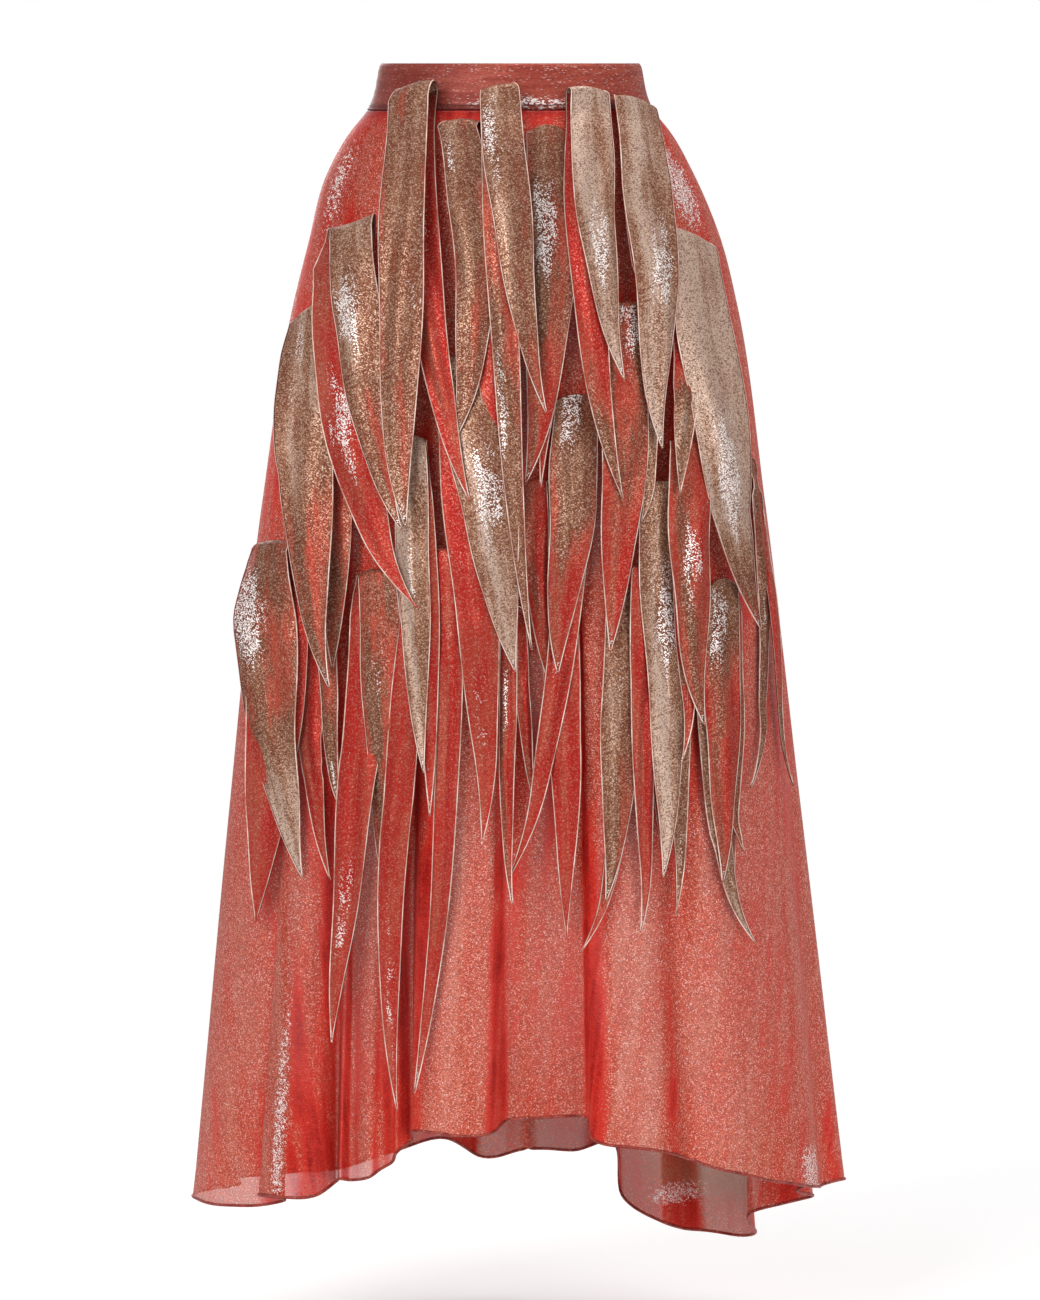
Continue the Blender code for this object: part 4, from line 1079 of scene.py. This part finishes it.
# %% [markdown]
# ## Making a tail
#
# One tail could be sculpted, but there are 88, so each is worked out from the same few rules. A tail is a
# grid of 46 rows. Its middle line and width come from the table. It lies on its solid, and each row is
# crowned a little, like a leaf. One edge lifts as the tail twists, shallow gutters wander along it, the
# point curls out and aside, and the edges waver. TOPS gives the slant and the dome of a strip's top edge, in
# millimetres, where they aren't the usual ones. FIT holds small corrections that bring the cloth closer to
# the photograph than the solids, which had to keep clear of each other.

# %% Corrections
TOPS = {
    "waist_a": (3.5, 2), "waist_b": (0, 2.5), "waist_c": (3, 1.5), "waist_d": (0, 7), "waist_e": (-1.5, 2.5),
    "waist_f": (-4, 3), "hip_left": (6, -2), "hip_right": (-7, 3), "side_left": (8, 4), "front_b": (1, 4.5),
    "low_f": (0, 6), "low_a": (0, 6), "front_d": (0, 4), "low_b": (0, 4),
}
USUAL_TOP = (1.0, 2.2)

# Shifts of the top and of the tip, a share of the width, more bow, and a rise of the top, in millimetres.
Fit = namedtuple("Fit", "top tip stretch bow rise", defaults=[0, 0, 1, 0, 0])
FIT = {
    ("waist_a", 0): Fit(top=-2.5, stretch=0.88), ("waist_f", 0): Fit(top=-3, stretch=0.95),
    ("hip_left", 0): Fit(top=-3, stretch=0.84), ("hip_left", 1): Fit(stretch=1.25),
    ("hip_right", 0): Fit(stretch=1.08), ("side_left", 0): Fit(top=-5),
    ("knee_left", 0): Fit(top=-19, bow=-4, rise=14), ("front_a", 0): Fit(rise=6),
    ("low_a", 1): Fit(2, 2, 1.1, 14), ("low_b", 0): Fit(14, 2, 0.66, 6),
    ("low_g", 0): Fit(5, 0, 0.9, 2), ("side_right", 0): Fit(4, 2, 0.85, 0, -2),
}
print(len(FIT), "tails fitted by hand")

# %% Shape one tail
TAIL_ROWS = 46
TAIL_COLUMNS = 13
ROOT_SHARE, ROOT_LENGTH = 0.86, 0.25
HOOK_START, HOOK_GAIN = 0.8, 1.5
POINT_WIDTH = 1.3
STAND_OFF = 8.0


def tail_form(tail, look, behind, t, stand_off=STAND_OFF):
    """Azimuth, drop and half width in degrees along a tail that stands this far off the cone."""
    hook = HOOK_GAIN * look.hook * rising(t, HOOK_START, 1 - HOOK_START) ** 2
    across = tail.across + (tail.tip_across - tail.across) * t + tail.bow * 4 * t * (1 - t) + hook
    drop = tail.drop + (tail.tip_drop - tail.drop) * t
    half_width, _, _, sway = section(drop)
    across = across + sway if behind else across - sway
    turn = np.degrees(np.arcsin(np.clip(across / (half_width + stand_off), -0.999, 0.999)))
    azimuth = turn + 180 if behind else turn
    shoulder = toward(ROOT_SHARE, 1, rising(t, 0, ROOT_LENGTH))
    width = np.maximum(POINT_WIDTH, tail.width * shoulder * (1 - t**tail.full))
    width = width / np.sqrt(np.maximum(0.55, np.cos(np.radians(turn))))
    return azimuth, drop, width / 2 / arc_per_degree(azimuth, drop)


print("points are", POINT_WIDTH, "mm wide")

# %% Read a tail's solid and the room above it
PROBE = 0.7
ROOM_STEP = 3


def fill(values):
    """Fills the places that no ray met from their neighbours."""
    met = np.flatnonzero(~np.isnan(values))
    return np.interp(np.arange(len(values)), met, values[met])


def solid_heights(name, tail, look, behind, over, t):
    """How high the middle of the solid's wall lies in each row, at three places across it."""
    azimuth, drop, half_turn = tail_form(tail, look._replace(hook=0), behind, t)
    found = []
    for share in (-PROBE, 0.0, PROBE):
        met = [heights(shapes[name], *spot) for spot in zip(azimuth + share * half_turn, drop)]
        walls = [hits[:2] if over else hits[-2:] for hits in met]
        found.append(fill(np.array([np.mean(wall) if len(wall) == 2 else np.nan for wall in walls])))
    return found


def free_room(name, azimuth, drop, half_turn, middle, tilt):
    """The room above the cloth in each row, at its left, middle and right."""
    rows, found = np.arange(0, TAIL_ROWS, ROOM_STEP), []
    for side in (-1, 0, 1):
        places = zip(azimuth + side * half_turn, drop, middle + side * tilt)
        free = [room_above(name, *place) for place in list(places)[::ROOM_STEP]]
        found.append(np.interp(np.arange(TAIL_ROWS), rows, free)[:, None])
    return found


print("the room is measured in every", ROOM_STEP, "rows")

# %% Lay a tail
STAND_OFF_WINDOW = np.hanning(15)[1:-1] / np.hanning(15).sum()
CROWN, TWIST, CURL = (2.6, 0.5, 0.6), (3.0, 0, 0.45), (6.0, 0, 0.75)
RIPPLE, GUTTER = (1.1, 0.3, 0.2), (2.4, 0.5, 0.5)
WAVER = 0.07
TOP_FADE = 12


def within(room, most, least, share):
    """A height that grows with the room above the cloth, up to the most."""
    return np.minimum(most, least + share * room)


def lay_tail(name, piece, looks, behind, over, wave):
    """The tail's grid as azimuth, drop, out, and its shares along and across."""
    tail, look = (piece.over, looks[0]) if over else (piece.under, looks[1])
    fit = Fit() if behind else FIT.get((piece.name, 0 if over else 1), Fit())
    t = np.linspace(0, 1, TAIL_ROWS) ** 0.9
    left, middle, right = solid_heights(name, tail, look, behind, over, t)
    tilt = (right - left) / (2 * PROBE)
    fitted = tail._replace(
        across=tail.across + fit.top, tip_across=tail.tip_across + fit.tip, width=tail.width * fit.stretch,
        bow=tail.bow + fit.bow,
    )
    stand_off = np.clip(smoothed(middle, STAND_OFF_WINDOW), STAND_OFF, 60)
    azimuth, drop, half_turn = tail_form(fitted, look, behind, t, stand_off)
    middle = middle + fit.rise * (1 - t)
    room = free_room(name, azimuth, drop, half_turn, middle, tilt)
    close = np.min(room, axis=0)
    middle = smoothed(middle)
    rows = (azimuth, drop, half_turn, middle, tilt, t)
    azimuth, drop, half_turn, middle, tilt, t = (values[:, None] for values in rows)
    u = np.linspace(-1, 1, TAIL_COLUMNS)
    bend = np.sin(np.pi * np.clip(t * 1.1, 0, 1))
    gutter = 0.5 + 0.5 * np.sin(4.4 * u + 2.6 * np.sin(3.3 * t + wave) + 2 * wave + tail.across)
    out = middle + u * tilt + within(room[1], *CROWN) * bend * (0.75 - u**2)
    twist = within(np.minimum(room[0], room[2]), *TWIST) * np.sin(np.pi * t) ** 2
    out = out + twist * np.clip(u * wave, 0, 1) ** 2
    out = out + within(close, *CURL) * rising(t, 0.7, 0.3) ** 1.6
    out = out + within(close, *RIPPLE) * np.sin(t * 9 + wave * 3) * bend * (1 - 0.6 * u**2)
    out = out + within(close, *GUTTER) * bend * gutter
    slant, dome = TOPS.get(piece.name, USUAL_TOP)
    fall = drop + (dome * u**2 - slant * u) * np.exp(-(drop - drop[0]) / TOP_FADE)
    waver = 1 + WAVER * np.sin(12 * t + 2 * wave + 1.6 * np.sign(u) + tail.across) * bend
    return azimuth + u * half_turn * waver, fall, out, t + 0 * u, u + 0 * t


print("a tail has", (TAIL_ROWS - 1) * (TAIL_COLUMNS - 1), "faces")

# %% [markdown]
# ## Folding and sewing on the strips
#
# The two tails are joined by the fold: an arch of rows that goes up from the over tail's top and down to the
# under tail's. Its inner side is in shadow, so painted shade turns the top of the under tail deep red. The
# strip's edge is overlocked with a paler thread, so a fine cord runs along each side of it, and the two meet
# at the points.

# %% Paint a tail and fold a strip
FOLD_ROWS = 9


def tail_paint(look, t, u):
    """Gold and painted glint over a tail, with a painted sheen in a soft band that wanders along it."""
    gold = look.top + (look.tip - look.top) * rising(t, look.turn - 0.12, 0.24)
    # The painted sheen: a soft band of extra gold that wanders across the tail.
    gold = gold + 0.09 * np.cos(math.pi * (u - look.side - 0.6 * np.sin(5 * t + 7 * look.glint)))
    glint = look.strength * hump(t, look.glint, 0.16) * hump(u, look.side, 0.55)
    return gold, np.maximum(glint, 0.75 * look.tipped * hump(t, 1, 0.06))


def fold_arch(start, end):
    """The rows of the fold, each an arch's place between the over tail's top and the under tail's."""
    radius, middle = np.abs(start[2] - end[2]) / 2, (start[2] + end[2]) / 2
    for angle in np.pi * np.arange(1, FOLD_ROWS) / FOLD_ROWS:
        azimuth, drop = (toward(start[k], end[k], (1 - np.cos(angle)) / 2) for k in (0, 1))
        yield azimuth, drop - radius * np.sin(angle), middle + (start[2] - middle) * np.cos(angle)


print("a fold has", FOLD_ROWS - 1, "rows")

# %% Sew on the strips
FOLD_SHADE_DEPTH, FOLD_DOUBLED = 0.55, 0.1
EDGE_RADIUS = 0.62 * MM


def make_strip(name, piece, looks, behind, wave):
    """One strip: its sheet of cloth and its rolled edge. Its wave, 1 or -1, is the side that lifts."""
    over = lay_tail(name, piece, looks, behind, True, wave)
    under = lay_tail(name, piece, looks, behind, False, -wave)
    arch = list(fold_arch([grid[0] for grid in over[:3]], [grid[0] for grid in under[:3]]))
    rows = [np.concatenate([over[k][::-1], np.array([row[k] for row in arch]), under[k]]) for k in range(3)]
    points = cone_point(*rows)
    over_gold, over_glint = tail_paint(looks[0], over[3], over[4])
    under_gold, under_glint = tail_paint(looks[1], under[3], under[4])
    blank = np.zeros((len(arch), TAIL_COLUMNS))
    paint = {
        "gold": np.concatenate([over_gold[::-1], blank + over_gold[0], under_gold]),
        "glint": np.concatenate([over_glint[::-1], blank, under_glint]),
        # Painted shade at the top of the under tail, inside the fold.
        "shade": np.concatenate([0 * over_gold, blank, FOLD_SHADE_DEPTH * np.exp(-under[3] / 0.08)]),
        "doubled": np.concatenate([0 * over_gold, blank + FOLD_DOUBLED, 0 * under_gold]),
    }
    bm = new_bmesh(paint)
    lay_grid(bm, points, paint)
    cloth = cloth_object(name + "_cloth", bm, strip_cloth)
    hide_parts(name)
    outward = unit(cone_point(rows[0], rows[1], rows[2] + 1) - points)
    bm = new_bmesh(("shade",))
    # Each cord carries a painted shadow on its outer side.
    for column, outside in ((0, 1), (-1, -1)):
        lay_cord(bm, points[:, column], outward[:, column], EDGE_RADIUS, outside=outside)
    edge = cloth_object(name + "_edge", bm, edge_thread)
    return cloth


strips = []
for side, table in (("front_", FRONT_PIECES), ("back_", BACK_PIECES)):
    behind = side == "back_"
    for index, piece in enumerate(table):
        looks = BACK_LOOKS[index % len(BACK_LOOKS)] if behind else LOOKS[piece.name]
        strips.append(make_strip(side + piece.name, piece, looks, behind, 1 if index % 2 else -1))
print(len(strips), "strips sewn on")

# %% [markdown]
# ## The zip
#
# The concealed zip's tape, slider and pull are the CAD solids with a finish of their own. Its coil is added
# here: a row of small humps on each side of the slot.

# %% Finish the zip
COIL_PITCH = 1.3
COIL_SIDE = 1.1
COIL_RADIUS = 0.38 * MM
COIL_END = 205.0
for node_name, zip_finish in {
    "zip_tape": tape_cloth, "zip_slider": painted_metal, "zip_pull": painted_metal
}.items():
    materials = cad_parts[node_name].data.materials
    materials.clear()
    materials.append(zip_finish)
bm = new_bmesh(())
for side in (-1, 1):
    for drop in np.arange(16.0, COIL_END, COIL_PITCH):
        reach = np.array([0.0, 0.5, 1.0]) * COIL_SIDE
        turn = 180 + side * (0.1 + reach) / arc_per_degree(180.0, drop)
        out = -1.9 + 0.35 * np.sin(np.pi * reach / COIL_SIDE)
        lay_thread(bm, turn, drop + 0 * reach, out, COIL_RADIUS)
coil = cloth_object("zip_coil", bm, tape_cloth)
print("coil faces", len(coil.data.polygons))
